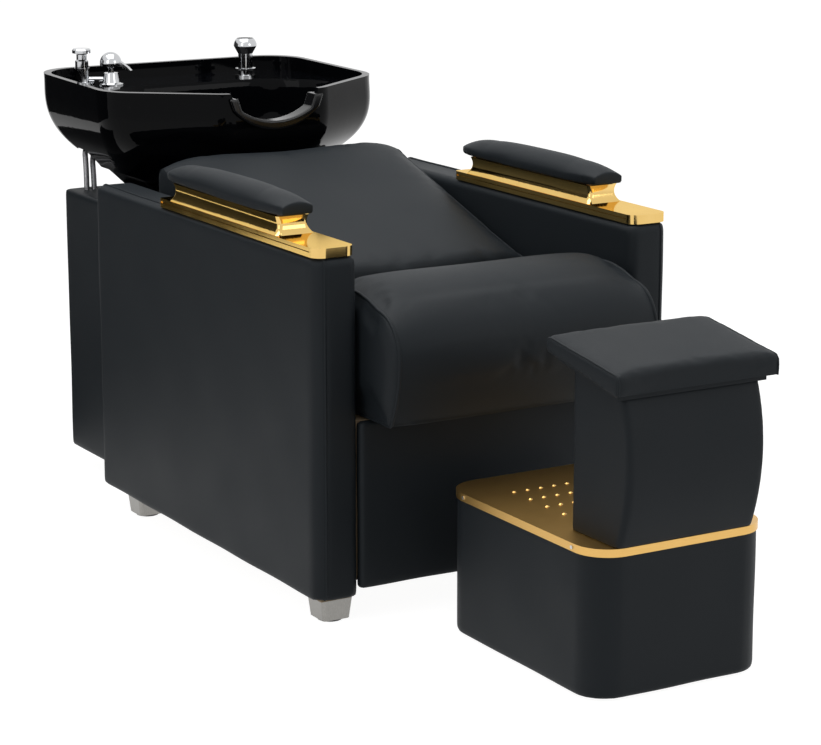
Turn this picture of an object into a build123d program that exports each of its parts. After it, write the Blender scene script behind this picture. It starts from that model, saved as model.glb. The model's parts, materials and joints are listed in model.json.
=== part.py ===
from build123d import *
from math import cos, radians, sin, tan
import os

os.makedirs("parts", exist_ok=True)

# All sizes are in millimetres. +Z is up, the chair faces -Y, and +X is on the right seen from the front.
# Distances named "from the front" start at the front faces of the two arm boxes.

# Fits and overruns shared by many pieces
soft_gap = 0.3
running_gap = 0.05
overrun = 20

# Arm boxes
bed_width = 700
arm_width = 80
arm_length = 875
arm_top = 624
arm_corner_radius = 28
arm_edge_radius = 16
arm_top_radius = 12
arm_bottom_radius = 8
arm_skin = 12
arm_rail = 45
arm_stud = 60

# Feet under the arm boxes
foot_height = 42
foot_width = 59
foot_taper = 4
foot_corner_radius = 7
foot_wall = 2.5
foot_side_inset = 17
foot_front_inset = 16
foot_rear_inset = 135
foot_rear_from_front = arm_length - foot_rear_inset
glide_height = 4
glide_radius = 21

# Body between the arm boxes
board = 18
side_gap = 0.3
cushion_side_gap = 6
panel_thickness = 18
panel_proud = 4
panel_bottom = 58
panel_edge_radius = 5
frame_bottom = 70
frame_rib = 18
seat_bottom = 345
seat_junction_from_front = 298

# Seat cushion
seat_nose = 116
seat_thickness = 223
seat_end_inset = 7
seat_crown = 4

# Back cushion
back_gap = 3
back_rear_inset = 74
back_rear_from_front = arm_length - back_rear_inset
back_front_bottom = 403
back_rear_bottom = 566
back_front_top = 530
back_rear_top = 689
back_edge_radius = 22
back_seam_radius = 3
back_end_drop = 20
back_shoulder_drop = 5
back_shoulder_share = 0.85

# Rear housing
housing_width = 560
housing_length = 311
housing_rear_from_front = arm_length + housing_length
housing_top = 567
housing_bottom = 40
housing_wall = 15
housing_edge_radius = 9
housing_opening_width = 400
housing_opening_length = 200
hose_hole_radius = 7

# Armrests
plate_width = 76
plate_length = 588
plate_front_inset = 4
plate_thickness = 16
plate_front_radius = 20
plate_rear_radius = 8
plate_groove_height = 3
plate_groove_depth = 2
plate_groove_above = 8
bracket_front_from_front = 145
bracket_length = 408
bracket_height = 31
bracket_base_width = 72
bracket_neck_width = 56
bracket_top_width = 62
bracket_corner_radius = 8
pad_front_from_front = 132
pad_length = 458
pad_width = 70
pad_thickness = 38
pad_board_thickness = 8
pad_board_width = 46
pad_board_length = 390
arm_screw_radius = 3
arm_screw_head_radius = 7
arm_screw_head_height = 4
arm_screw_spacing = 300

# Basin: its outline is a shield with a narrow front, wide shoulders and a straight rear edge
bowl_front_inset = 73
bowl_front_from_front = arm_length - bowl_front_inset
bowl_length = 512
bowl_front_width = 212
bowl_shoulder_width = 592
bowl_shoulder_from_bowl_front = 131
bowl_rear_width = 582
bowl_front_radius = 58
bowl_shoulder_radius = 88
bowl_rear_radius = 84
bowl_bottom = 612
bowl_height = 190
bowl_inset = 80
rim_height = 789
rim_slope = 0.75
rim_wall = 13
deck_height = 763
deck_thickness = 12
basin_front_wall = 16
basin_length = 347
basin_width = 504
basin_front_width = 190
basin_shoulder_from_basin_front = 120
basin_front_radius = 60
basin_shoulder_radius = 85
basin_rear_radius = 150
basin_bottom = 634
basin_inset = 82
recess_width = 470
recess_front_wall = 21
recess_length = 86
hose_recess_length = 46
hose_recess_width = 50
hose_recess_margin = 3.5

# Neck notch and the gel rest in it
notch_top_width = 200
notch_width = 164
notch_shoulder_height = 752
notch_top_height = 802
notch_bottom = 722
rest_thickness = 8
rest_flange = 5
rest_drop = 10
rest_top = 776
rest_slot_slack = 7
rest_front_gap = 1

# Tilt mechanism
hinge_from_arm_rear = 145
hinge_from_front = arm_length + hinge_from_arm_rear
hinge_height = 560
cradle_bottom = 572
cradle_bottom_width = 364
cradle_bottom_length = 150
cradle_top_width = 436
cradle_top_length = 210
cradle_corner_radius = 24
cradle_wall = 5
bracket_plate = 6
bracket_width = 250
bracket_length_y = 110
bracket_eye_radius = 24
bracket_ear = 8
bush_radius = 11
pin_radius = 8
pin_head_radius = 14
pin_head_height = 6
bush_length = 11.5
upright_gap = 2
upright_thickness = 30
upright_width = 40
stand_plate = 8
stand_plate_length = 120
stand_brace_height = 300
stand_brace = 30
tilt_bolt_radius = 4
tilt_bolt_head_radius = 7
tilt_bolt_head_height = 5
tilt_bolt_length = 22
tilt_bolt_spacing_x = 200
tilt_bolt_spacing_y = 76

# Drain
drain_radius = 22
drain_bore = 17
drain_flange_radius = 33
drain_flange = 3
drain_cone_radius = 62
drain_cone_depth = 6
drain_tail_bottom = 520
drain_nut_radius = 32
drain_nut_height = 12
drain_pass_radius = 38
strainer_radius = 15
strainer_rim_radius = 26
strainer_rim = 2
strainer_depth = 20
strainer_wall = 1.5
strainer_hole_radius = 2
strainer_hole_ring = 9
drain_hose_radius = 20
drain_outlet_height = 150
drain_outlet_length = 60
drain_outlet_inside = 30
outlet_flange_radius = 32
outlet_flange = 4

# Fittings on the rear deck, from the middle of the basin and from the front
mixer_x = -155
mixer_from_arm_rear = 347
mixer_from_front = arm_length + mixer_from_arm_rear
breaker_x = -205
breaker_from_arm_rear = 377
breaker_from_front = arm_length + breaker_from_arm_rear
sprayer_x = 140
sprayer_from_arm_rear = 331
sprayer_from_front = arm_length + sprayer_from_arm_rear
shank_radius = 10
shank_length = 28
nut_radius = 16
nut_height = 8
mixer_flange_radius = 25
mixer_flange = 5
mixer_body_radius = 18
mixer_neck_radius = 14
mixer_body_height = 24
mixer_ball_radius = 12
mixer_ball_height = 44
mixer_stem_radius = 6
mixer_stem_depth = 14
mixer_dome_radius = 22
mixer_dome_skirt = 6
socket_gap = 0.08
lever_angle = 45
lever_length = 44
lever_drop = 14
lever_width = 11
lever_thickness = 7
breaker_flange_radius = 25
breaker_flange = 6
breaker_radius = 15
breaker_body_height = 34
breaker_collar_radius = 13.5
breaker_collar_height = 48
breaker_neck_radius = 10.5
breaker_neck_height = 61
breaker_cap_radius = 19
breaker_cap_height = 12
breaker_cap_edge = 3
link_radius = 5
link_height = 11
holder_flange_radius = 21
holder_flange = 4
holder_radius = 14
holder_height = 18
holder_lip_radius = 21
holder_lip = 5
holder_bore = 11.5
sprayer_stem_radius = 11
sprayer_stem_length = 14
sprayer_grip_radius = 15
sprayer_grip_height = 30
sprayer_head_radius = 24
sprayer_head_height = 31
sprayer_face_radius = 17
sprayer_face_depth = 2
sprayer_shoulder_share = 0.924
sprayer_brow_share = 0.78
spray_hose_bore = 7

# Hoses and inlets
supply_radius = 5.5
supply_x = -242
supply_spacing = 16
supply_pair = 12
supply_from_arm_rear = 283
supply_from_front = arm_length + supply_from_arm_rear
hose_run_share = 0.45
inlet_height = 170
inlet_steps = 1, 2
inlet_radius = 10.48
inlet_length = 22
inlet_neck_radius = 9.5
inlet_flange_radius = 18
inlet_flange = 6
inlet_body = 24
inlet_body_radius = 9
inlet_bore = 6
inlet_spacing = 70

# Rear access panel of the housing
access_width = 480
access_bottom = 75
access_height = 440
access_thickness = 8
access_screw_radius = 2.5
access_screw_head_radius = 5
access_screw_head_height = 2.5
access_screw_length = 16
access_screw_inset = 20

# Footstool
stool_gap = 98
stool_width = 330
stool_length = 439
stool_corner_radius = 55
stool_top = 244.5
stool_skin = 10
stool_glide_height = 5
stool_glide_radius = 16
stool_glide_inset = 60
stool_bottom_radius = 9
stool_rail = 60
stool_base_board = 18
step_top = 247
step_sheet = 2
step_flange = 13
dome_radius = 4.3
dome_height = 2.2
dome_arc_share = 0.55
dome_arc_height_share = 0.72
dome_pitch_x = 25.8
dome_pitch_y = 49
dome_columns = 8
dome_rows = 4
dome_rear_inset = 93
flange_screw_radius = 1.5
flange_screw_head_radius = 3
flange_screw_head = 1.6
flange_screw_length = 9
flange_screw_end_inset = 62
post_width = 257
post_rear_inset = 315
post_length = 127
post_bulge = 22
post_top_lean = 6
post_edge_radius = 9
post_skin = 10
post_board = 18
calf_width = 316
calf_overhang = 32
calf_length = 203
calf_rear_top = 552
calf_front_top = 522
calf_rear_thickness = 27
calf_front_thickness = 36
calf_edge_radius = 10
calf_crown = 5
calf_end_inset = 5
calf_board = 9
calf_board_inset = 20
calf_seam_radius = 3

# The whole is centred along Y between the calf pad's front and the basin's rear
reach_before = stool_gap + stool_length + calf_overhang
reach_behind = bowl_front_from_front + bowl_length
front = (reach_before - reach_behind) / 2

# Places that several pieces share
arm_x = (bed_width - arm_width) / 2
inner_half = bed_width / 2 - arm_width - side_gap
cushion_half = bed_width / 2 - arm_width - cushion_side_gap
hinge_y = front + hinge_from_front
bowl_y = front + bowl_front_from_front
deck_under = deck_height - deck_thickness
housing_front = front + arm_length
seat_junction = front + seat_junction_from_front
plate_top = arm_top + plate_thickness
bracket_top = plate_top + bracket_height


def keep(piece, name):
    """Label a finished piece and write it to a file of its own."""
    piece.part.label = name
    export_step(piece.part, f"parts/{name}.step")


def rounded_box(width, length, radius, centre_y, centre_x=0):
    """Add a rounded rectangle to the sketch in hand."""
    with Locations((centre_x, centre_y)):
        RectangleRounded(width, length, radius)


def rounded_outline(points, radii, plane=Plane.XY):
    """A closed outline through corner points, each corner rounded by its own radius."""
    corners = [Vector(*point) for point in points]
    bends = []
    befores = corners[-1:] + corners[:-1]
    afters = corners[1:] + corners[:1]
    for before, here, after, radius in zip(befores, corners, afters, radii):
        to_before = (before - here).normalized()
        to_after = (after - here).normalized()
        half_angle = radians(to_before.get_angle(to_after)) / 2
        reach = radius / tan(half_angle)
        middle = here + (to_before + to_after).normalized() * (radius / sin(half_angle) - radius)
        bends.append((here + to_before * reach, middle, here + to_after * reach))
    with BuildSketch(plane) as outline:
        with BuildLine():
            for bend, next_bend in zip(bends, bends[1:] + bends[:1]):
                ThreePointArc(*bend)
                Line(bend[-1], next_bend[0])
        make_face()
    return outline.sketch


def hose_path(points):
    """Join straight runs by arcs as large as the two runs beside each corner allow."""
    radii = []
    for before, here, after in zip(points, points[1:], points[2:]):
        run_in = Vector(*here) - Vector(*before)
        run_out = Vector(*after) - Vector(*here)
        half_turn = radians(run_in.get_angle(run_out)) / 2
        radii.append(hose_run_share * min(run_in.length, run_out.length) / tan(half_turn))
    print("hose radii", [round(radius) for radius in radii])
    return FilletPolyline(*points, radius=radii)


def hose(points, radius, bore=0):
    """A round hose along a list of points."""
    with BuildPart() as tube:
        with BuildLine() as route:
            hose_path(points)
        start = Vector(*points[0])
        with BuildSketch(Plane(origin=start, z_dir=Vector(*points[1]) - start)):
            Circle(radius)
            if bore:
                Circle(bore, mode=Mode.SUBTRACT)
        sweep()
    print("hose length", round(route.wire().length))
    return tube


# Arm boxes: a wooden frame inside an upholstered cover
def arm_cover(side):
    centre_y = front + arm_length / 2
    x_mid = side * arm_x
    with BuildPart() as cover:
        with BuildSketch(Plane.XY.offset(foot_height)) as plan:
            with Locations((x_mid, centre_y)):
                Rectangle(arm_width, arm_length)
            corners = plan.vertices().sort_by(lambda corner: corner.Y - side * corner.X)
            outer_front = corners[0]
            others = [corner for corner in plan.vertices() if corner.distance_to(outer_front) > arm_edge_radius]
            fillet(others, arm_edge_radius)
            outer_front = plan.vertices().sort_by(lambda corner: corner.Y - side * corner.X)[0]
            fillet(outer_front, arm_corner_radius)
        extrude(amount=arm_top - foot_height)
        fillet(cover.faces().sort_by(Axis.Z)[-1].edges(), arm_top_radius)
        fillet(cover.faces().sort_by(Axis.Z)[0].edges(), arm_bottom_radius)
        with BuildSketch(Plane.XY.offset(foot_height)):
            with Locations((x_mid, centre_y)):
                Rectangle(arm_width - 2 * arm_skin, arm_length - 2 * arm_skin)
        extrude(amount=arm_top - foot_height - arm_skin, mode=Mode.SUBTRACT)
        arm_screw_holes(x_mid)
    return cover


def arm_screw_holes(x_mid):
    """Holes for the two long screws that clamp plate, bracket and armrest to the arm box."""
    with BuildSketch(Plane.XY.offset(foot_height)) as holes:
        with Locations((x_mid, arm_screw_middle())):
            with GridLocations(0, arm_screw_spacing, 1, 2):
                Circle(arm_screw_radius + soft_gap)
    extrude(holes.sketch, amount=bracket_top + pad_thickness - foot_height, mode=Mode.SUBTRACT)


def arm_screw_middle():
    return front + bracket_front_from_front + bracket_length / 2


def arm_frame(side):
    frame_length = arm_length - 2 * arm_skin
    frame_height = arm_top - foot_height - arm_skin
    middle = (front + arm_length / 2, foot_height + frame_height / 2)
    with BuildPart() as frame:
        with BuildSketch(Plane.YZ.offset(side * arm_x)):
            with Locations(middle):
                Rectangle(frame_length, frame_height)
                Rectangle(frame_length - 2 * arm_rail, frame_height - 2 * arm_rail, mode=Mode.SUBTRACT)
            with Locations((arm_screw_middle(), middle[-1])):
                Rectangle(arm_stud, frame_height)
        extrude(amount=arm_width / 2 - arm_skin, both=True)
        arm_screw_holes(side * arm_x)
    return frame


# Feet: hollow tapered blocks with a glide below each
def foot(x_mid, y_mid):
    with BuildPart() as block:
        for height, width in ((glide_height, foot_width - 2 * foot_taper), (foot_height, foot_width)):
            with BuildSketch(Plane.XY.offset(height)):
                rounded_box(width, width, foot_corner_radius, y_mid, x_mid)
        loft()
        for height, width in ((glide_height + foot_wall, foot_width - 2 * foot_taper), (foot_height, foot_width)):
            with BuildSketch(Plane.XY.offset(height)):
                rounded_box(width - 2 * foot_wall, width - 2 * foot_wall, foot_corner_radius, y_mid, x_mid)
        loft(mode=Mode.SUBTRACT)
    return block


foot_x = bed_width / 2 - foot_side_inset - foot_width / 2
foot_front_y = front + foot_front_inset + foot_width / 2
foot_rear_y = front + foot_rear_from_front + foot_width / 2

for side, side_name in ((-1, "left"), (1, "right")):
    keep(arm_cover(side), f"arm_{side_name}_cover")

with BuildPart() as arm_frames:
    for side in (-1, 1):
        add(arm_frame(side).part)
keep(arm_frames, "arm_frames")

with BuildPart() as feet:
    for side in (-1, 1):
        for y_mid in (foot_front_y, foot_rear_y):
            add(foot(side * foot_x, y_mid).part)
keep(feet, "feet")

with BuildPart() as foot_glides:
    with BuildSketch():
        with Locations((0, (foot_front_y + foot_rear_y) / 2)):
            with GridLocations(2 * foot_x, foot_rear_y - foot_front_y, 2, 2):
                Circle(glide_radius)
    extrude(amount=glide_height)
keep(foot_glides, "foot_glides")


# Wooden frame, decks and front panel between the arm boxes
deck_bottom = seat_bottom - board
back_slope = (back_rear_bottom - back_front_bottom) / (back_rear_from_front - seat_junction_from_front - back_gap)
back_front = seat_junction + back_gap
back_rear = front + back_rear_from_front
frame_front = front + panel_thickness - panel_proud
frame_rear = back_rear - board / 2


def rib_outline():
    with BuildSketch() as rib:
        with BuildLine():
            Polyline(
                (frame_front, frame_bottom),
                (frame_front, deck_bottom),
                (back_front, deck_bottom),
                (back_front, back_front_bottom - board),
                (frame_rear, back_front_bottom - board + back_slope * (frame_rear - back_front)),
                (frame_rear, frame_bottom),
                close=True,
            )
        make_face()
    return rib.sketch


with BuildPart() as seat_frame:
    for x_mid in (-inner_half + frame_rib / 2, 0, inner_half - frame_rib / 2):
        with BuildSketch(Plane.YZ.offset(x_mid)):
            add(rib_outline())
        extrude(amount=frame_rib / 2, both=True)
    for y_mid in (frame_front + frame_rib / 2, frame_rear - frame_rib / 2):
        with BuildSketch(Plane.XY.offset(frame_bottom)):
            with Locations((0, y_mid)):
                Rectangle(2 * inner_half, frame_rib)
        extrude(amount=deck_bottom - frame_bottom)
    with BuildSketch(Plane.XY.offset(frame_bottom)):
        with Locations((0, (frame_front + frame_rear) / 2)):
            Rectangle(2 * inner_half, frame_rear - frame_front)
    extrude(amount=frame_rib)
keep(seat_frame, "seat_frame")

with BuildPart() as seat_deck:
    with BuildSketch(Plane.XY.offset(deck_bottom)):
        with Locations((0, (frame_front + back_front) / 2)):
            Rectangle(2 * inner_half, back_front - frame_front)
    extrude(amount=board)
keep(seat_deck, "seat_deck")

with BuildPart() as back_deck:
    with BuildSketch(Plane.YZ):
        rise = back_slope * (frame_rear - back_front)
        with BuildLine():
            Polyline(
                (back_front, back_front_bottom - board),
                (back_front, back_front_bottom),
                (frame_rear, back_front_bottom + rise),
                (frame_rear, back_front_bottom - board + rise),
                close=True,
            )
        make_face()
    extrude(amount=inner_half, both=True)
keep(back_deck, "back_deck")

with BuildPart() as front_panel:
    with BuildSketch(Plane.XY.offset(panel_bottom)):
        with Locations((0, front - panel_proud + panel_thickness / 2)):
            Rectangle(2 * inner_half, panel_thickness)
    extrude(amount=seat_bottom - panel_bottom - side_gap)
    fillet(front_panel.faces().sort_by(Axis.Y)[0].edges(), panel_edge_radius)
keep(front_panel, "front_panel")


# Seat cushion: a waterfall roll in front that dips towards the back cushion
seat_shares = [
    (0.077, 0.0),
    (0.019, 0.269),
    (0.0, 0.552),
    (0.044, 0.758),
    (0.184, 0.91),
    (0.389, 1.0),
    (0.594, 0.933),
    (0.80, 0.776),
    (1.0, 0.709),
]
seat_station_shares = [
    (-1, -seat_end_inset),
    (-back_shoulder_share, 0),
    (0, seat_crown),
    (back_shoulder_share, 0),
    (1, -seat_end_inset),
]


def seat_section(x_share, grow):
    depth = seat_nose + seat_junction_from_front + grow
    height = seat_thickness + grow
    rear = seat_junction
    base = seat_bottom + soft_gap
    points = [(rear - depth * (1 - along), base + height * up) for along, up in seat_shares]
    with BuildSketch(Plane.YZ.offset(x_share * cushion_half)) as section:
        with BuildLine():
            ThreePointArc(points[0], points[1], points[2])
            ThreePointArc(points[2], points[3], points[4])
            ThreePointArc(points[4], points[5], points[6])
            ThreePointArc(points[6], points[7], points[8])
            Polyline(points[8], (rear, base), points[0])
        make_face()
    return section.sketch


with BuildPart() as seat_cushion:
    loft([seat_section(x_share, grow) for x_share, grow in seat_station_shares])
keep(seat_cushion, "seat_cushion")


# Back cushion: a sloping slab, fullest in the middle and drawn down at its two ends
def back_section(x_share, drop):
    corners = [
        (back_front, back_front_bottom + soft_gap),
        (back_rear, back_rear_bottom + soft_gap),
        (back_rear, back_rear_top - drop),
        (back_front, back_front_top - drop),
    ]
    radii = (back_seam_radius, back_seam_radius, back_edge_radius, back_edge_radius)
    return rounded_outline(corners, radii, Plane.YZ.offset(x_share * cushion_half))


back_station_shares = [
    (-1, back_end_drop),
    (-back_shoulder_share, back_shoulder_drop),
    (0, 0),
    (back_shoulder_share, back_shoulder_drop),
    (1, back_end_drop),
]

with BuildPart() as back_cushion:
    loft([back_section(x_share, drop) for x_share, drop in back_station_shares])
keep(back_cushion, "back_cushion")


# Rear housing: a shell open below, with a tongue between the arm boxes and an opening for the tilt mechanism
housing_rear = front + housing_rear_from_front
tongue_front = frame_rear
supply_places = [(supply_x, front + supply_from_front), (supply_x + supply_spacing, front + supply_from_front)]



def access_screw_circles(radius):
    with BuildSketch() as circles:
        with Locations((0, access_bottom + access_height / 2)):
            with GridLocations(access_width - 2 * access_screw_inset, access_height / 2 - access_screw_inset, 2, 3):
                Circle(radius)
    return circles.sketch


with BuildPart() as housing_shell:
    with BuildSketch(Plane.XY.offset(housing_bottom)):
        with Locations((0, (housing_front + housing_rear) / 2)):
            Rectangle(housing_width, housing_rear - housing_front)
    extrude(amount=housing_top - housing_bottom)
    rear_edges = housing_shell.edges().filter_by(Axis.Z).group_by(Axis.Y)[-1]
    fillet(rear_edges, housing_edge_radius)
    fillet(housing_shell.faces().sort_by(Axis.Z)[-1].edges().sort_by(Axis.Y)[1:], housing_edge_radius / 2)
    with BuildSketch(Plane.XY.offset(housing_bottom)):
        with Locations((0, (tongue_front + housing_front) / 2)):
            Rectangle(2 * inner_half, housing_front - tongue_front)
    extrude(amount=back_rear_bottom - housing_bottom - back_gap)
    with BuildSketch(Plane.XY.offset(housing_bottom)):
        with Locations((0, (tongue_front + housing_rear) / 2)):
            Rectangle(2 * (inner_half - housing_wall), housing_rear - tongue_front - 2 * housing_wall)
    extrude(amount=housing_top - housing_bottom - housing_wall - back_gap, mode=Mode.SUBTRACT)
    with BuildSketch(Plane.XY.offset(housing_top - housing_wall - overrun)):
        with Locations((0, hinge_y)):
            RectangleRounded(housing_opening_width, housing_opening_length, housing_edge_radius)
        with Locations(*supply_places):
            Circle(hose_hole_radius)
    extrude(amount=housing_wall + 2 * overrun, mode=Mode.SUBTRACT)
    with BuildSketch(Plane.XZ.offset(-housing_rear - overrun)):
        with Locations((0, access_bottom + access_height / 2)):
            Rectangle(access_width - 4 * access_screw_inset, access_height - 4 * access_screw_inset)
    extrude(amount=housing_wall + 2 * overrun, mode=Mode.SUBTRACT)
    with BuildSketch(Plane.XZ.offset(-housing_rear)):
        add(access_screw_circles(access_screw_radius))
    extrude(amount=access_screw_length - access_thickness, mode=Mode.SUBTRACT)
keep(housing_shell, "housing_shell")

with BuildPart() as housing_floor:
    with BuildSketch(Plane.XY.offset(housing_bottom)):
        with Locations((0, (tongue_front + housing_rear) / 2)):
            Rectangle(2 * (inner_half - housing_wall), housing_rear - tongue_front - 2 * housing_wall)
    extrude(amount=board)
keep(housing_floor, "housing_floor")

inlet_places = [(supply_places[0][0] + inlet_spacing * step, inlet_height) for step in inlet_steps]
screw_plane = Plane.XZ.offset(-housing_rear)

with BuildPart() as access_panel:
    with BuildSketch(screw_plane):
        with Locations((0, access_bottom + access_height / 2)):
            Rectangle(access_width, access_height)
        add(access_screw_circles(access_screw_radius), mode=Mode.SUBTRACT)
        with Locations(*inlet_places):
            Circle(inlet_radius + soft_gap, mode=Mode.SUBTRACT)
        with Locations((0, drain_outlet_height)):
            Circle(drain_hose_radius + soft_gap, mode=Mode.SUBTRACT)
    extrude(amount=-access_thickness)
keep(access_panel, "access_panel")

with BuildPart() as access_screws:
    panel_back = Plane.XZ.offset(-housing_rear - access_thickness)
    with BuildSketch(panel_back):
        add(access_screw_circles(access_screw_head_radius))
    extrude(amount=-access_screw_head_height)
    with BuildSketch(panel_back):
        add(access_screw_circles(access_screw_radius))
    extrude(amount=access_screw_length)
keep(access_screws, "access_screws")


# Armrests: gold plate, coved gold bracket, board and pad on each arm box
def arm_plate(side):
    x_mid = side * arm_x
    y_mid = front + plate_front_inset + plate_length / 2
    with BuildPart() as plate:
        with BuildSketch(Plane.XY.offset(arm_top)) as plan:
            with Locations((x_mid, y_mid)):
                Rectangle(plate_width, plate_length)
            fillet(plan.vertices().group_by(Axis.Y)[-1], plate_rear_radius)
            fillet(plan.vertices().group_by(Axis.Y)[0], plate_front_radius)
        extrude(amount=plate_thickness)
        groove_length = plate_length - plate_front_radius - plate_rear_radius
        with BuildSketch(Plane.XY.offset(arm_top + plate_groove_above)):
            with Locations((x_mid, y_mid + (plate_front_radius - plate_rear_radius) / 2)):
                with GridLocations(plate_width, 0, 2, 1):
                    Rectangle(2 * plate_groove_depth, groove_length)
        extrude(amount=plate_groove_height, mode=Mode.SUBTRACT)
        arm_screw_holes(x_mid)
    return plate


def arm_bracket(side):
    x_mid = side * arm_x
    y_mid = arm_screw_middle()
    cove = (bracket_base_width - bracket_neck_width) / 2
    sections = (
        (plate_top, bracket_base_width, bracket_length + cove),
        (plate_top + bracket_height / 2, bracket_neck_width, bracket_length - cove),
        (bracket_top, bracket_top_width, bracket_length - cove / 2),
    )
    with BuildPart() as block:
        for height, width, length in sections:
            with BuildSketch(Plane.XY.offset(height)):
                rounded_box(width, length, bracket_corner_radius, y_mid, x_mid)
        loft()
        pocket_length = arm_screw_spacing - 2 * bracket_corner_radius
        with BuildSketch(Plane.XY.offset(plate_top)):
            with Locations((x_mid, y_mid)):
                Rectangle(bracket_neck_width - 2 * bracket_corner_radius, pocket_length)
        extrude(amount=bracket_height - bracket_corner_radius, mode=Mode.SUBTRACT)
        arm_screw_holes(x_mid)
    return block


pad_station_shares = [
    (0.0, 0.84, 0.20, 0.40),
    (0.05, 0.95, 0.27, 0.62),
    (0.22, 1.0, 0.32, 0.96),
    (0.55, 1.0, 0.32, 1.0),
    (0.82, 0.97, 0.28, 0.86),
    (0.95, 0.87, 0.20, 0.52),
    (1.0, 0.66, 0.12, 0.27),
]


def arm_pad(side):
    x_mid = side * arm_x
    base = bracket_top
    pad_front = front + pad_front_from_front
    with BuildPart() as pad:
        for along, wide, edge, high in pad_station_shares:
            half = pad_width * wide / 2
            with BuildSketch(Plane.XZ.offset(-pad_front - pad_length * along)):
                with BuildLine():
                    Polyline(
                        (x_mid - half, base + pad_thickness * edge),
                        (x_mid - half, base),
                        (x_mid + half, base),
                        (x_mid + half, base + pad_thickness * edge),
                    )
                    ThreePointArc(
                        (x_mid + half, base + pad_thickness * edge),
                        (x_mid, base + pad_thickness * high),
                        (x_mid - half, base + pad_thickness * edge),
                    )
                make_face()
        loft()
        with BuildSketch(Plane.XY.offset(base)):
            with Locations((x_mid, arm_screw_middle())):
                Rectangle(pad_board_width, pad_board_length)
        extrude(amount=pad_board_thickness + soft_gap, mode=Mode.SUBTRACT)
    return pad


for side, side_name in ((-1, "left"), (1, "right")):
    keep(arm_plate(side), f"arm_{side_name}_plate")
    keep(arm_bracket(side), f"arm_{side_name}_bracket")
    keep(arm_pad(side), f"arm_{side_name}_pad")

with BuildPart() as arm_pad_boards:
    with BuildSketch(Plane.XY.offset(bracket_top)):
        with Locations((0, arm_screw_middle())):
            with GridLocations(2 * arm_x, 0, 2, 1):
                Rectangle(pad_board_width, pad_board_length)
            with GridLocations(2 * arm_x, arm_screw_spacing, 2, 2):
                Circle(arm_screw_radius, mode=Mode.SUBTRACT)
    extrude(amount=pad_board_thickness)
keep(arm_pad_boards, "arm_pad_boards")

with BuildPart() as arm_screws:
    rail_under = arm_top - arm_skin - arm_rail
    with BuildSketch(Plane.XY.offset(rail_under)):
        with Locations((0, arm_screw_middle())):
            with GridLocations(2 * arm_x, arm_screw_spacing, 2, 2):
                Circle(arm_screw_radius)
    extrude(amount=bracket_top + pad_board_thickness - rail_under)
    with BuildSketch(Plane.XY.offset(rail_under)):
        with Locations((0, arm_screw_middle())):
            with GridLocations(2 * arm_x, arm_screw_spacing, 2, 2):
                Circle(arm_screw_head_radius)
    extrude(amount=-arm_screw_head_height)
keep(arm_screws, "arm_screws")


# Basin
def shield(front_y, shoulder_y, rear_y, front_half, shoulder_half, rear_half, radii):
    """Outline with a narrow front edge, wide shoulders and a straight rear edge, all corners rounded."""
    front_radius, shoulder_radius, rear_radius = radii
    corners = [
        (-front_half, front_y),
        (front_half, front_y),
        (shoulder_half, shoulder_y),
        (rear_half, rear_y),
        (-rear_half, rear_y),
        (-shoulder_half, shoulder_y),
    ]
    return rounded_outline(
        corners, (front_radius, front_radius, shoulder_radius, rear_radius, rear_radius, shoulder_radius)
    )


def bowl_outline(side_inset, front_inset, rear_inset):
    return shield(
        bowl_y + front_inset,
        bowl_y + bowl_shoulder_from_bowl_front + front_inset,
        bowl_y + bowl_length - rear_inset,
        bowl_front_width / 2 - side_inset / 2,
        bowl_shoulder_width / 2 - side_inset,
        bowl_rear_width / 2 - side_inset,
        (bowl_front_radius, bowl_shoulder_radius, bowl_rear_radius),
    )


basin_front = bowl_y + basin_front_wall
basin_rear = basin_front + basin_length


def basin_outline(inset):
    return shield(
        basin_front + inset,
        basin_front + basin_shoulder_from_basin_front + inset / 2,
        basin_rear - inset,
        basin_front_width / 2 - inset / 2,
        basin_width / 2 - inset,
        basin_width / 2 - inset - soft_gap,
        (basin_front_radius - inset / 4, basin_shoulder_radius - inset / 2, basin_rear_radius - inset),
    )


# Height of each section as a share of the bowl's height, then the side, front and rear insets as shares
bowl_section_shares = [
    (0.0, 0.94, 1.0, 1.0),
    (0.105, 0.72, 0.72, 0.78),
    (0.25, 0.40, 0.34, 0.45),
    (0.46, 0.125, 0.05, 0.15),
    (0.70, 0.025, 0.0, 0.025),
    (1.0, 0.0, 0.0, 0.0),
]
basin_section_shares = [(0.0, 1.0), (0.05, 0.5), (0.21, 0.21), (0.52, 0.06), (1.0, 0.0)]


def notch_line(side_gap_out, top):
    """The neck notch seen from the front, moved out by a gap."""
    half = notch_width / 2 + side_gap_out
    flare = (notch_top_width - notch_width) / 2 / (notch_top_height - notch_shoulder_height)
    top_half = half + flare * (top - notch_shoulder_height)
    with BuildSketch() as outline:
        with BuildLine():
            ThreePointArc(
                (-half, notch_shoulder_height),
                (0, notch_bottom - side_gap_out),
                (half, notch_shoulder_height),
            )
            Polyline(
                (half, notch_shoulder_height),
                (top_half, top),
                (-top_half, top),
                (-half, notch_shoulder_height),
            )
        make_face()
    return outline.sketch


fitting_places = {
    "mixer": (mixer_x, front + mixer_from_front),
    "breaker": (breaker_x, front + breaker_from_front),
    "sprayer": (sprayer_x, front + sprayer_from_front),
}
rim_plane = Plane(
    origin=(0, bowl_y + bowl_length / 2, rim_height),
    x_dir=(1, 0, 0),
    z_dir=(0, -sin(radians(rim_slope)), cos(radians(rim_slope))),
)
drain_y = hinge_y
recess_front = basin_rear + recess_front_wall
hose_recess_x = supply_x - supply_radius - hose_recess_margin + hose_recess_width / 2

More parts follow.
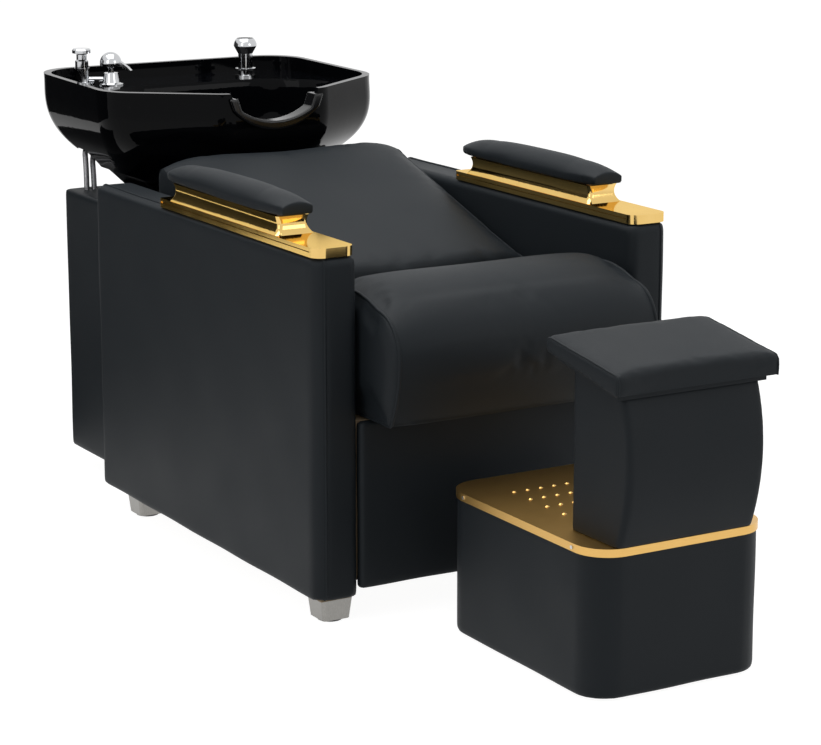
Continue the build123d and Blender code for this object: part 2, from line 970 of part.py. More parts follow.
with BuildPart() as bowl:
    for height_share, side_share, front_share, rear_share in bowl_section_shares:
        with BuildSketch(Plane.XY.offset(bowl_bottom + bowl_height * height_share)):
            add(bowl_outline(bowl_inset * side_share, bowl_inset * front_share, bowl_inset * rear_share))
    loft()
    split(bisect_by=rim_plane, keep=Keep.BOTTOM)
    with BuildSketch(Plane.XY.offset(deck_height)):
        add(bowl_outline(rim_wall, rim_wall, rim_wall))
    extrude(amount=bowl_height, mode=Mode.SUBTRACT)
    for height_share, inset_share in basin_section_shares:
        with BuildSketch(Plane.XY.offset(basin_bottom + (deck_height - basin_bottom) * height_share)):
            add(basin_outline(basin_inset * inset_share))
    loft(mode=Mode.SUBTRACT)
    with BuildSketch(Plane.XZ.offset(-bowl_y + overrun)):
        add(notch_line(0, notch_top_height))
    extrude(amount=-2 * overrun - basin_front_wall, mode=Mode.SUBTRACT)
    with BuildSketch(Plane.XY.offset(bowl_bottom)):
        with Locations((0, recess_front + recess_length / 2)):
            RectangleRounded(recess_width, recess_length, rim_wall)
        with Locations((hose_recess_x, recess_front - hose_recess_length / 2 + rim_wall)):
            Rectangle(hose_recess_width, hose_recess_length + 2 * rim_wall)
    extrude(amount=deck_under - bowl_bottom, mode=Mode.SUBTRACT)
    with BuildSketch(Plane.XY.offset(deck_under - overrun)):
        with Locations(*fitting_places.values()):
            Circle(shank_radius + soft_gap)
    extrude(amount=deck_thickness + 2 * overrun, mode=Mode.SUBTRACT)
    with BuildSketch(Plane.XY.offset(basin_bottom - drain_cone_depth)):
        with Locations((0, drain_y)):
            Circle(drain_flange_radius + soft_gap)
    with BuildSketch(Plane.XY.offset(basin_bottom)):
        with Locations((0, drain_y)):
            Circle(drain_cone_radius)
    loft(mode=Mode.SUBTRACT)
    with BuildSketch(Plane.XY.offset(bowl_bottom)):
        with Locations((0, drain_y)):
            Circle(drain_radius + soft_gap)
    extrude(amount=basin_bottom - bowl_bottom, mode=Mode.SUBTRACT)
    with BuildSketch(Plane.XY.offset(bowl_bottom)):
        with Locations((0, hinge_y)):
            with GridLocations(tilt_bolt_spacing_x, tilt_bolt_spacing_y, 2, 2):
                Circle(tilt_bolt_radius)
    extrude(amount=tilt_bolt_length - bracket_plate - cradle_wall, mode=Mode.SUBTRACT)
keep(bowl, "bowl")


# Gel rest clipped over the wall of the neck notch: a saddle with a lip before and behind the wall
rest_front = bowl_y - rest_front_gap - rest_flange
slot_rear = bowl_y + basin_front_wall + rest_slot_slack

with BuildPart() as neck_rest:
    with BuildSketch(Plane.XZ.offset(-rest_front)):
        add(notch_line(rest_drop, rest_top))
        add(notch_line(-rest_thickness, rest_top + overrun), mode=Mode.SUBTRACT)
    extrude(amount=rest_front - slot_rear - rest_flange)
    with BuildSketch(Plane.XZ.offset(rest_front_gap - bowl_y)):
        add(notch_line(rest_drop + overrun, rest_top + overrun))
        add(notch_line(-soft_gap, rest_top + 2 * overrun), mode=Mode.SUBTRACT)
    extrude(amount=bowl_y - rest_front_gap - slot_rear, mode=Mode.SUBTRACT)
keep(neck_rest, "neck_rest")


# Tilt mechanism: cradle and bracket under the basin turn on two stub pins held by the stand
cradle_top = bowl_bottom
bracket_under = cradle_top - cradle_wall - bracket_plate
ear_outer = bracket_width / 2
upright_inner = ear_outer + (bush_length - bracket_ear) / 2 + upright_gap


def tilt_bolt_places():
    with BuildSketch() as places:
        with Locations((0, hinge_y)):
            with GridLocations(tilt_bolt_spacing_x, tilt_bolt_spacing_y, 2, 2):
                Circle(tilt_bolt_radius)
    return places.sketch


with BuildPart() as bowl_cradle:
    for shrink, mode in ((0, Mode.ADD), (cradle_wall, Mode.SUBTRACT)):
        lower = (cradle_bottom_width - 2 * shrink, cradle_bottom_length - 2 * shrink)
        upper = (cradle_top_width - 2 * shrink, cradle_top_length - 2 * shrink)
        for height, (width, length) in ((cradle_bottom, lower), (cradle_top - shrink, upper)):
            with BuildSketch(Plane.XY.offset(height)):
                rounded_box(width, length, cradle_corner_radius - shrink, hinge_y)
        loft(mode=mode)
    with BuildSketch(Plane.XY.offset(bracket_under)):
        with Locations((0, drain_y)):
            Circle(drain_pass_radius)
        add(tilt_bolt_places())
    extrude(amount=overrun, mode=Mode.SUBTRACT)
keep(bowl_cradle, "bowl_cradle")

with BuildPart() as tilt_bracket:
    with BuildSketch(Plane.XY.offset(bracket_under)):
        with Locations((0, hinge_y)):
            Rectangle(bracket_width, bracket_length_y)
            Circle(drain_pass_radius, mode=Mode.SUBTRACT)
        add(tilt_bolt_places(), mode=Mode.SUBTRACT)
    extrude(amount=bracket_plate)
    for ear_middle in (-ear_outer + bracket_ear / 2, ear_outer - bracket_ear / 2):
        with BuildSketch(Plane.YZ.offset(ear_middle)):
            with Locations((hinge_y, hinge_height)):
                Circle(bracket_eye_radius)
            with Locations((hinge_y, (hinge_height + bracket_under) / 2)):
                Rectangle(2 * bracket_eye_radius, bracket_under - hinge_height)
            with Locations((hinge_y, hinge_height)):
                Circle(bush_radius, mode=Mode.SUBTRACT)
        extrude(amount=bracket_ear / 2, both=True)
keep(tilt_bracket, "tilt_bracket")

with BuildPart() as tilt_bushes:
    for ear_middle in (-ear_outer + bracket_ear / 2, ear_outer - bracket_ear / 2):
        with BuildSketch(Plane.YZ.offset(ear_middle)):
            with Locations((hinge_y, hinge_height)):
                Circle(bush_radius)
                Circle(pin_radius + running_gap, mode=Mode.SUBTRACT)
        extrude(amount=bush_length / 2, both=True)
keep(tilt_bushes, "tilt_bushes")

with BuildPart() as tilt_bolts:
    with BuildSketch(Plane.XY.offset(bracket_under)):
        add(tilt_bolt_places())
    extrude(amount=tilt_bolt_length)
    with BuildSketch(Plane.XY.offset(bracket_under)):
        with Locations((0, hinge_y)):
            with GridLocations(tilt_bolt_spacing_x, tilt_bolt_spacing_y, 2, 2):
                RegularPolygon(tilt_bolt_head_radius, 6)
    extrude(amount=-tilt_bolt_head_height)
keep(tilt_bolts, "tilt_bolts")

stand_bottom = housing_bottom + board
upright_middle = upright_inner + upright_thickness / 2
with BuildPart() as bowl_stand:
    with BuildSketch(Plane.XY.offset(stand_bottom)):
        with Locations((0, hinge_y)):
            Rectangle(2 * (upright_inner + upright_thickness), stand_plate_length)
    extrude(amount=stand_plate)
    for x_mid in (-upright_middle, upright_middle):
        with BuildSketch(Plane.YZ.offset(x_mid)):
            with Locations((hinge_y, (stand_bottom + hinge_height) / 2)):
                Rectangle(upright_width, hinge_height - stand_bottom)
            with Locations((hinge_y, hinge_height)):
                Circle(upright_width / 2)
                Circle(pin_radius, mode=Mode.SUBTRACT)
        extrude(amount=upright_thickness / 2, both=True)
    with BuildSketch(Plane.YZ):
        with Locations((hinge_y + stand_brace, stand_brace_height)):
            Rectangle(stand_brace, stand_brace)
    extrude(amount=upright_inner + upright_thickness, both=True)
keep(bowl_stand, "bowl_stand")

pin_inner = ear_outer - bracket_ear / 2 - bush_length / 2
pin_outer = upright_inner + upright_thickness
with BuildPart() as tilt_pins:
    for side in (-1, 1):
        with BuildSketch(Plane.YZ.offset(side * (pin_inner + pin_outer) / 2)):
            with Locations((hinge_y, hinge_height)):
                Circle(pin_radius)
        extrude(amount=(pin_outer - pin_inner) / 2, both=True)
        with BuildSketch(Plane.YZ.offset(side * (pin_outer + pin_head_height / 2))):
            with Locations((hinge_y, hinge_height)):
                Circle(pin_head_radius)
        extrude(amount=pin_head_height / 2, both=True)
keep(tilt_pins, "tilt_pins")


# Drain through the middle of the basin
def turned(points, x_mid=0, y_mid=0):
    """Turn an outline of (radius, height) points about an upright axis."""
    with BuildPart() as piece:
        with BuildSketch(Plane(origin=(x_mid, y_mid, 0), x_dir=(1, 0, 0), z_dir=(0, -1, 0))):
            with BuildLine():
                Polyline(*points, close=True)
            make_face()
        revolve(axis=Axis((x_mid, y_mid, 0), (0, 0, 1)))
    return piece


flange_bottom = basin_bottom - drain_cone_depth
flange_top = flange_bottom + drain_flange
nut_bottom = bowl_bottom - drain_nut_height

drain_body = turned(
    [
        (drain_bore, drain_tail_bottom),
        (drain_radius, drain_tail_bottom),
        (drain_radius, flange_bottom),
        (drain_flange_radius, flange_bottom),
        (drain_flange_radius, flange_top),
        (drain_bore, flange_top),
    ],
    y_mid=drain_y,
)
keep(drain_body, "drain_body")

with BuildPart() as drain_nut:
    with BuildSketch(Plane.XY.offset(nut_bottom)):
        with Locations((0, drain_y)):
            RegularPolygon(drain_nut_radius, 6)
            Circle(drain_radius + running_gap, mode=Mode.SUBTRACT)
    extrude(amount=drain_nut_height)
keep(drain_nut, "drain_nut")

with BuildPart() as strainer:
    with BuildSketch(Plane.XY.offset(flange_top)):
        with Locations((0, drain_y)):
            Circle(strainer_rim_radius)
    extrude(amount=strainer_rim)
    with BuildSketch(Plane.XY.offset(flange_top - strainer_depth)):
        with Locations((0, drain_y)):
            Circle(strainer_radius)
    extrude(amount=strainer_depth)
    with BuildSketch(Plane.XY.offset(flange_top - strainer_depth + strainer_wall)):
        with Locations((0, drain_y)):
            Circle(strainer_radius - strainer_wall)
    extrude(amount=strainer_depth + overrun, mode=Mode.SUBTRACT)
    with BuildSketch(Plane.XY.offset(flange_top - strainer_depth)):
        with Locations((0, drain_y)):
            Circle(strainer_hole_radius)
            with PolarLocations(strainer_hole_ring, 6):
                Circle(strainer_hole_radius)
    extrude(amount=strainer_wall, mode=Mode.SUBTRACT)
keep(strainer, "strainer")

outlet_inner = housing_rear - housing_wall - drain_outlet_inside
with BuildPart() as drain_outlet:
    outlet_plane = Plane.XZ.offset(-outlet_inner)
    with BuildSketch(outlet_plane):
        with Locations((0, drain_outlet_height)):
            Circle(drain_hose_radius)
            Circle(drain_bore, mode=Mode.SUBTRACT)
    extrude(amount=outlet_inner - housing_rear - access_thickness - drain_outlet_length)
    with BuildSketch(Plane.XZ.offset(-housing_rear - access_thickness)):
        with Locations((0, drain_outlet_height)):
            Circle(outlet_flange_radius)
            Circle(drain_hose_radius, mode=Mode.SUBTRACT)
    extrude(amount=-outlet_flange)
keep(drain_outlet, "drain_outlet")

drain_hose_points = [
    (0, drain_y, drain_tail_bottom),
    (0, 647.5, 440),
    (0, 604, 296),
    (0, 612, 222),
    (0, 656, 168),
    (0, 718, 150),
    (0, outlet_inner, drain_outlet_height),
]
keep(hose(drain_hose_points, drain_hose_radius, drain_bore), "drain_hose")


# Mixer: base on the deck, a ball that turns in it, and a domed handle that tips on the ball
mixer_place = fitting_places["mixer"]
mixer_base = turned(
    [
        (0, deck_height - shank_length),
        (shank_radius, deck_height - shank_length),
        (shank_radius, deck_height),
        (mixer_flange_radius, deck_height),
        (mixer_flange_radius, deck_height + mixer_flange / 2),
        (mixer_body_radius, deck_height + mixer_flange),
        (mixer_neck_radius, deck_height + mixer_body_height),
        (mixer_stem_radius + running_gap, deck_height + mixer_body_height),
        (mixer_stem_radius + running_gap, deck_height + mixer_body_height - mixer_stem_depth),
        (0, deck_height + mixer_body_height - mixer_stem_depth),
    ],
    *mixer_place,
)
keep(mixer_base, "mixer_base")

ball_height = deck_height + mixer_ball_height
stem_bottom = deck_height + mixer_body_height - mixer_stem_depth + running_gap
with BuildPart() as mixer_ball:
    with BuildSketch(Plane.XY.offset(stem_bottom)):
        with Locations(mixer_place):
            Circle(mixer_stem_radius)
    extrude(amount=ball_height - stem_bottom)
    with Locations((*mixer_place, ball_height)):
        Sphere(mixer_ball_radius)
keep(mixer_ball, "mixer_ball")

lever_plane = Plane(
    origin=(*mixer_place, ball_height),
    x_dir=(sin(radians(lever_angle)), -cos(radians(lever_angle)), 0),
    z_dir=(-cos(radians(lever_angle)), -sin(radians(lever_angle)), 0),
)
with BuildPart() as mixer_handle:
    with Locations((*mixer_place, ball_height)):
        Sphere(mixer_dome_radius)
    with BuildSketch(lever_plane) as lever_side:
        with BuildLine():
            Polyline(
                (0, lever_thickness),
                (mixer_dome_radius, lever_thickness / 2),
                (lever_length - lever_thickness, -lever_drop + lever_thickness),
                (lever_length, -lever_drop),
                (lever_length - lever_thickness, -lever_drop),
                (mixer_dome_radius - lever_thickness, -lever_thickness / 2),
                (0, 0),
                close=True,
            )
        make_face()
        fillet(lever_side.vertices().sort_by(Axis.Z)[0], lever_thickness / 4)
    extrude(amount=lever_width / 2, both=True)
    with BuildSketch(Plane.XY.offset(ball_height - mixer_dome_skirt)):
        with Locations(mixer_place):
            Circle(mixer_dome_radius)
    extrude(amount=-mixer_dome_radius, mode=Mode.SUBTRACT)
    with Locations((*mixer_place, ball_height)):
        Sphere(mixer_ball_radius + socket_gap, mode=Mode.SUBTRACT)
keep(mixer_handle, "mixer_handle")


# Vacuum breaker, its cap, and the pipe that joins it to the mixer
breaker_place = fitting_places["breaker"]
breaker_top = deck_height + breaker_neck_height
breaker_body = turned(
    [
        (0, deck_height - shank_length),
        (shank_radius, deck_height - shank_length),
        (shank_radius, deck_height),
        (breaker_flange_radius, deck_height),
        (breaker_flange_radius, deck_height + breaker_flange),
        (breaker_radius, deck_height + breaker_flange),
        (breaker_radius, deck_height + breaker_body_height),
        (breaker_collar_radius, deck_height + breaker_body_height),
        (breaker_collar_radius, deck_height + breaker_collar_height),
        (breaker_neck_radius, deck_height + breaker_collar_height + breaker_cap_edge),
        (breaker_neck_radius, breaker_top),
        (0, breaker_top),
    ],
    *breaker_place,
)
keep(breaker_body, "breaker_body")

breaker_cap = turned(
    [
        (0, breaker_top),
        (breaker_neck_radius, breaker_top),
        (breaker_cap_radius, breaker_top + breaker_cap_edge),
        (breaker_cap_radius, breaker_top + breaker_cap_height - breaker_cap_edge),
        (breaker_cap_radius - breaker_cap_edge, breaker_top + breaker_cap_height),
        (0, breaker_top + breaker_cap_height),
    ],
    *breaker_place,
)
keep(breaker_cap, "breaker_cap")

link_start = Vector(*breaker_place, deck_height + link_height)
link_end = Vector(*mixer_place, deck_height + link_height)
with BuildPart() as breaker_link:
    with BuildSketch(Plane(origin=link_start, z_dir=link_end - link_start)):
        Circle(link_radius)
    extrude(amount=(link_end - link_start).length - 2 * mixer_stem_radius)
    add(breaker_body.part, mode=Mode.SUBTRACT)
    add(mixer_base.part, mode=Mode.SUBTRACT)
keep(breaker_link, "breaker_link")

with BuildPart() as deck_nuts:
    with BuildSketch(Plane.XY.offset(deck_under)):
        with Locations(*fitting_places.values()):
            RegularPolygon(nut_radius, 6)
            Circle(shank_radius + running_gap, mode=Mode.SUBTRACT)
    extrude(amount=-nut_height)
keep(deck_nuts, "deck_nuts")


# Hand spray, parked upright in its deck holder
sprayer_place = fitting_places["sprayer"]
holder_top = deck_height + holder_height
sprayer_holder = turned(
    [
        (spray_hose_bore, deck_height - shank_length),
        (shank_radius, deck_height - shank_length),
        (shank_radius, deck_height),
        (holder_flange_radius, deck_height),
        (holder_flange_radius, deck_height + holder_flange),
        (holder_radius, deck_height + holder_flange),
        (holder_radius, holder_top - holder_lip),
        (holder_lip_radius, holder_top - holder_lip / 2),
        (holder_lip_radius, holder_top),
        (holder_bore, holder_top),
        (holder_bore, holder_top - sprayer_stem_length),
        (spray_hose_bore, holder_top - sprayer_stem_length),
    ],
    *sprayer_place,
)
keep(sprayer_holder, "sprayer_holder")

grip_bottom = holder_top + soft_gap
stem_end = grip_bottom - sprayer_stem_length
grip_top = grip_bottom + sprayer_grip_height
head_top = grip_top + sprayer_head_height
with BuildPart() as sprayer:
    with BuildSketch(Plane(origin=(*sprayer_place, 0), x_dir=(1, 0, 0), z_dir=(0, -1, 0))):
        with BuildLine():
            Polyline(
                (0, head_top - sprayer_face_depth),
                (0, stem_end),
                (sprayer_stem_radius, stem_end),
                (sprayer_stem_radius, grip_bottom),
                (sprayer_grip_radius, grip_bottom),
                (sprayer_grip_radius, grip_top),
                (sprayer_head_radius, grip_top + sprayer_head_height / 2),
            )
            ThreePointArc(
                (sprayer_head_radius, grip_top + sprayer_head_height / 2),
                (
                    sprayer_shoulder_share * sprayer_head_radius,
                    grip_top + sprayer_brow_share * sprayer_head_height,
                ),
                (sprayer_face_radius, head_top),
            )
            Polyline(
                (sprayer_face_radius, head_top),
                (sprayer_face_radius, head_top - sprayer_face_depth),
                (0, head_top - sprayer_face_depth),
            )
        make_face()
    revolve(axis=Axis((*sprayer_place, 0), (0, 0, 1)))
keep(sprayer, "sprayer")

with BuildPart() as sprayer_face:
    with BuildSketch(Plane.XY.offset(head_top - sprayer_face_depth)):
        with Locations(sprayer_place):
            Circle(sprayer_face_radius - running_gap)
    extrude(amount=sprayer_face_depth)
keep(sprayer_face, "sprayer_face")


# Hoses: routes of points chosen by hand, from tail to tail
tail_height = deck_height - shank_length
nipple_tail = housing_rear - inlet_flange - inlet_body
hot_hose_points = [
    (mixer_x - supply_pair / 2, mixer_place[-1], tail_height),
    (-161, 849.5, 699),
    (-198, 838, 662),
    (-238, 802, 648),
    (-242, 785.5, 612),
    (-242, 785.5, 470),
    (-238, 768, 392),
    (-225, 735, 320),
    (-208, 702, 262),
    (-194, 690, 214),
    (-182, 703, 180),
    (-174, 738, 168),
    (inlet_places[0][0], nipple_tail, inlet_height),
]
keep(hose(hot_hose_points, supply_radius), "supply_hose_hot")

cold_hose_points = [
    (mixer_x + supply_pair / 2, mixer_place[-1], tail_height),
    (-149, 849.5, 690),
    (-190, 838, 648),
    (-222, 803, 628),
    (-226, 785.5, 593),
    (-226, 785.5, 455),
    (-220, 768, 378),
    (-200, 735, 308),
    (-170, 702, 254),
    (-142, 688, 210),
    (-119, 701, 180),
    (-105, 738, 168),
    (inlet_places[1][0], nipple_tail, inlet_height),
]
keep(hose(cold_hose_points, supply_radius), "supply_hose_cold")

with BuildPart() as inlet_nipples:
    with BuildSketch(Plane.XZ.offset(-housing_rear)):
        with Locations(*inlet_places):
            Circle(inlet_neck_radius)
    extrude(amount=-access_thickness)
    with BuildSketch(Plane.XZ.offset(-housing_rear - access_thickness)):
        with Locations(*inlet_places):
            Circle(inlet_radius)
    extrude(amount=-inlet_length)
    with BuildSketch(Plane.XZ.offset(-housing_rear)):
        with Locations(*inlet_places):
            Circle(inlet_flange_radius)
    extrude(amount=inlet_flange)
    with BuildSketch(Plane.XZ.offset(inlet_flange - housing_rear)):
        with Locations(*inlet_places):
            Circle(inlet_body_radius)
    extrude(amount=inlet_body)
    with BuildSketch(Plane.XZ.offset(-nipple_tail)):
        with Locations(*inlet_places):
            Circle(inlet_bore)
    extrude(amount=nipple_tail - housing_rear - access_thickness - inlet_length, mode=Mode.SUBTRACT)
keep(inlet_nipples, "inlet_nipples")


# Footstool base: an upholstered box over a wooden frame, on four glides
stool_rear = front - stool_gap
stool_front = stool_rear - stool_length
stool_y = (stool_front + stool_rear) / 2
flange_middle = step_top - step_flange / 2
flange_outer = stool_width / 2 + soft_gap + step_sheet


def flange_screw_circles(radius):
    with BuildSketch() as circles:
        with Locations((stool_y, flange_middle)):
            with GridLocations(stool_length - 2 * flange_screw_end_inset, 0, 2, 1):
                Circle(radius)
    return circles.sketch


def flange_screw_shanks(mode):
    """Shanks of the screws in both side flanges, running inwards from the flanges' outer faces."""
    for side in (-1, 1):
        with BuildSketch(Plane.YZ.offset(side * flange_outer)) as circles:
            add(flange_screw_circles(flange_screw_radius))
        extrude(circles.sketch, amount=-side * flange_screw_length, mode=mode)


with BuildPart() as stool_glides:
    with BuildSketch():
        with Locations((0, stool_y)):
            with GridLocations(stool_width - 2 * stool_glide_inset, stool_length - 2 * stool_glide_inset, 2, 2):
                Circle(stool_glide_radius)
    extrude(amount=stool_glide_height)
keep(stool_glides, "stool_glides")

with BuildPart() as stool_cover:
    with BuildSketch(Plane.XY.offset(stool_glide_height)):
        rounded_box(stool_width, stool_length, stool_corner_radius, stool_y)
    extrude(amount=stool_top - stool_glide_height)
    fillet(stool_cover.faces().sort_by(Axis.Z)[0].edges(), stool_bottom_radius)
    with BuildSketch(Plane.XY.offset(stool_glide_height)):
        rounded_box(
            stool_width - 2 * stool_skin,
            stool_length - 2 * stool_skin,
            stool_corner_radius - stool_skin,
            stool_y,
        )
    extrude(amount=stool_top - stool_glide_height - stool_skin, mode=Mode.SUBTRACT)
    flange_screw_shanks(Mode.SUBTRACT)
keep(stool_cover, "stool_cover")

with BuildPart() as stool_frame:
    inset = stool_skin + stool_rail
    with BuildSketch(Plane.XY.offset(stool_glide_height)):
        rounded_box(
            stool_width - 2 * stool_skin,
            stool_length - 2 * stool_skin,
            stool_corner_radius - stool_skin,
            stool_y,
        )
    extrude(amount=stool_top - stool_glide_height - stool_skin)
    with BuildSketch(Plane.XY.offset(stool_glide_height + stool_base_board)):
        with Locations((0, stool_y)):
            Rectangle(stool_width - 2 * inset, stool_length - 2 * inset)
    extrude(amount=stool_top, mode=Mode.SUBTRACT)
keep(stool_frame, "stool_frame")


# Step plate: a folded pan over the top of the base, with raised domes
def step_dome():
    with BuildPart() as dome:
        with BuildSketch(Plane.XZ):
            with BuildLine():
                ThreePointArc(
                    (0, dome_height),
                    (dome_arc_share * dome_radius, dome_arc_height_share * dome_height),
                    (dome_radius, 0),
                )
                Polyline((dome_radius, 0), (dome_radius, -step_sheet), (0, -step_sheet), (0, dome_height))
            make_face()
        revolve(axis=Axis.Z)
    return dome


with BuildPart() as step_plate:
    grown = 2 * (soft_gap + step_sheet)
    with BuildSketch(Plane.XY.offset(step_top - step_flange)):
        rounded_box(
            stool_width + grown, stool_length + grown, stool_corner_radius + soft_gap + step_sheet, stool_y
        )
    extrude(amount=step_flange)
    with BuildSketch(Plane.XY.offset(step_top - step_flange)):
        rounded_box(
            stool_width + 2 * soft_gap, stool_length + 2 * soft_gap, stool_corner_radius + soft_gap, stool_y
        )
    extrude(amount=step_flange - step_sheet, mode=Mode.SUBTRACT)
    flange_screw_shanks(Mode.SUBTRACT)
    dome = step_dome()
    dome_y = stool_rear - dome_rear_inset - (dome_rows - 1) * dome_pitch_y / 2
    with Locations((0, dome_y, step_top)):
        with GridLocations(dome_pitch_x, dome_pitch_y, dome_columns, dome_rows):
            add(dome.part)
keep(step_plate, "step_plate")

with BuildPart() as step_screws:
    flange_screw_shanks(Mode.ADD)
    for side in (-1, 1):
        with BuildSketch(Plane.YZ.offset(side * flange_outer)):
            add(flange_screw_circles(flange_screw_head_radius))
        extrude(amount=side * flange_screw_head)
keep(step_screws, "step_screws")


# Calf rest: an upholstered post over a board frame, a board on the post and a sloping pad on the board
calf_front = stool_front - calf_overhang
calf_rear = calf_front + calf_length
calf_slope = (calf_rear_top - calf_rear_thickness - calf_front_top + calf_front_thickness) / calf_length
post_rear = stool_rear - post_rear_inset
post_front = post_rear - post_length


def calf_underside(y_place):
    return calf_front_top - calf_front_thickness + calf_slope * (y_place - calf_front)


def post_outline(inset):
    """Side outline of the post, drawn in at front and rear."""
    lean_front = post_front - post_top_lean
    top_height = calf_underside(lean_front + inset) - calf_board
    foot_point = (post_front + inset, step_top)
    top_point = (lean_front + inset, top_height)
    middle = ((foot_point[0] + top_point[0]) / 2 - post_bulge, (step_top + top_height) / 2)
    with BuildSketch() as outline:
        with BuildLine():
            ThreePointArc(top_point, middle, foot_point)
            Polyline(
                foot_point,
                (post_rear - inset, step_top),
                (post_rear - inset, calf_underside(post_rear - inset) - calf_board),
                top_point,
            )
        make_face()
    return outline.sketch


with BuildPart() as calf_post:
    with BuildSketch(Plane.YZ):
        add(post_outline(0))
    extrude(amount=post_width / 2, both=True)
    seams = []
    for face in (calf_post.faces().sort_by(Axis.X)[0], calf_post.faces().sort_by(Axis.X)[-1]):
        upright_edges = face.edges().sort_by(Axis.Y)
        seams += [upright_edges[0], upright_edges[-1]]
    fillet(seams, post_edge_radius)
    with BuildSketch(Plane.YZ):
        add(post_outline(post_skin))
    extrude(amount=post_width / 2 - post_skin, both=True, mode=Mode.SUBTRACT)
keep(calf_post, "calf_post")

with BuildPart() as calf_post_frame:
    for shrink, mode in ((post_skin, Mode.ADD), (post_skin + post_board, Mode.SUBTRACT)):
        with BuildSketch(Plane.YZ):
            add(post_outline(shrink))
        extrude(amount=post_width / 2 - shrink, both=True, mode=mode)
keep(calf_post_frame, "calf_post_frame")

with BuildPart() as calf_pad_board:
    board_rear = calf_rear - calf_board_inset
    board_front = calf_front + calf_board_inset
    with BuildSketch(Plane.YZ):
        with BuildLine():
            Polyline(
                (board_front, calf_underside(board_front) - calf_board),
                (board_rear, calf_underside(board_rear) - calf_board),
                (board_rear, calf_underside(board_rear)),
                (board_front, calf_underside(board_front)),
                close=True,
            )
        make_face()
    extrude(amount=calf_width / 2 - calf_board_inset, both=True)
keep(calf_pad_board, "calf_pad_board")

calf_station_shares = [
    (1.0, 1.0, -1.0),
    (0.975, 0.3, -0.3),
    (0.93, 0.0, 0.1),
    (0.7, 0.0, 0.6),
    (0.35, 0.0, 0.92),
    (0.0, 0.0, 1.0),
]
calf_stations = [(-share, inset, grow) for share, inset, grow in calf_station_shares]
calf_stations += calf_station_shares[-2::-1]


def calf_section(x_share, inset_share, grow_share):
    inset = calf_end_inset * inset_share
    grow = calf_crown * grow_share
    rear_y = calf_rear - inset
    front_y = calf_front + inset
    corners = [
        (front_y, calf_underside(front_y)),
        (rear_y, calf_underside(rear_y)),
        (rear_y, calf_underside(rear_y) + calf_rear_thickness + grow),
        (front_y, calf_underside(front_y) + calf_front_thickness + grow),
    ]
    radii = (calf_seam_radius, calf_seam_radius, calf_edge_radius, calf_edge_radius)
    return rounded_outline(corners, radii, Plane.YZ.offset(x_share * calf_width / 2))


with BuildPart() as calf_pad:
    loft([calf_section(*station) for station in calf_stations], ruled=True)
keep(calf_pad, "calf_pad")
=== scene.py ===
# %% [markdown]
# A salon backwash unit, dressed over its construction model.
# The frame brings every piece at its real size and place, in metres. This lesson never moves those pieces: it
# gives them finishes, and it puts upholstery where the construction model has only plain soft solids.

# %% Load the construction model
import json
import math

import bmesh
import bpy
import numpy as np
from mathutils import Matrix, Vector

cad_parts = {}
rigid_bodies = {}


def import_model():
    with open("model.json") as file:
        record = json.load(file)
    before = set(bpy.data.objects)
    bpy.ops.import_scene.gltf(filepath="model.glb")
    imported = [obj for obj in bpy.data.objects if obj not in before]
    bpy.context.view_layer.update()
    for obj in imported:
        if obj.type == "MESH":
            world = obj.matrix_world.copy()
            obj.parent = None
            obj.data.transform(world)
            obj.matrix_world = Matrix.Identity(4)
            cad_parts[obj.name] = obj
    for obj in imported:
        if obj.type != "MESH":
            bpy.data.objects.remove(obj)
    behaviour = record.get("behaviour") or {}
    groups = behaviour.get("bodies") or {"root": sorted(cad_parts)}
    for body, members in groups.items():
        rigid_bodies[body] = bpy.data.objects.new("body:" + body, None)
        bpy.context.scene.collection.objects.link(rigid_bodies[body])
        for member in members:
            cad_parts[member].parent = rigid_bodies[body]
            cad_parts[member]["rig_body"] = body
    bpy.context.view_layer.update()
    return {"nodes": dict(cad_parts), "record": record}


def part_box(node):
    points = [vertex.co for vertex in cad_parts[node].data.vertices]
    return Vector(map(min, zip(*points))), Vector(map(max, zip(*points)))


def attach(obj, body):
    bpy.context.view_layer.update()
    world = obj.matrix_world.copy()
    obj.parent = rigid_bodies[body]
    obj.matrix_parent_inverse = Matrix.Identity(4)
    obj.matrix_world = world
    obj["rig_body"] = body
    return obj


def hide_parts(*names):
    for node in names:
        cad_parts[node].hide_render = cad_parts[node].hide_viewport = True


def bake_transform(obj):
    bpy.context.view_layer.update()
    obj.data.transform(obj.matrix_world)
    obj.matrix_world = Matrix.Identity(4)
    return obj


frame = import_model()
scene = bpy.context.scene
millimetre = 0.001
node_slots = {part["node"]: part["material_slot"] for part in frame["record"]["subparts"]}

# %% [markdown]
# The photograph was taken from the front left, a little above the basin, with a long lens.
# The place of the camera was worked out from the edges of the two arm boxes and of the footstool, so the
# picture that it gives has the photograph's own frame and needs no shift.

# %% Place the camera
lens_length = 116.30
film_width = 36
farthest_seen = 60
camera_place = (-2.337, -4.058, 1.4255)
camera_pitch = math.radians(76.73)
camera_heading = math.radians(-30.42)

camera_data = bpy.data.cameras.new("studio_camera")
camera_data.lens = lens_length
camera_data.sensor_width = film_width
camera_data.clip_end = farthest_seen
camera = bpy.data.objects.new("studio_camera", camera_data)
camera.location = camera_place
camera.rotation_euler = (camera_pitch, 0, camera_heading)
scene.collection.objects.link(camera)
scene.camera = camera
scene.view_settings.view_transform = "Standard"
print("camera at", camera_place, "with a lens of", lens_length, "mm")

# %% [markdown]
# Finishes come as Principled shaders fed by small reusable groups.
# A group gives out only what varies over a surface: a tint, a roughness, or a height for a Bump node. Numbers
# that are the same all over stay on the shader's own sockets. Each group works from the object's own
# coordinates, so it needs no unwrapping and the grain has its real size in millimetres.

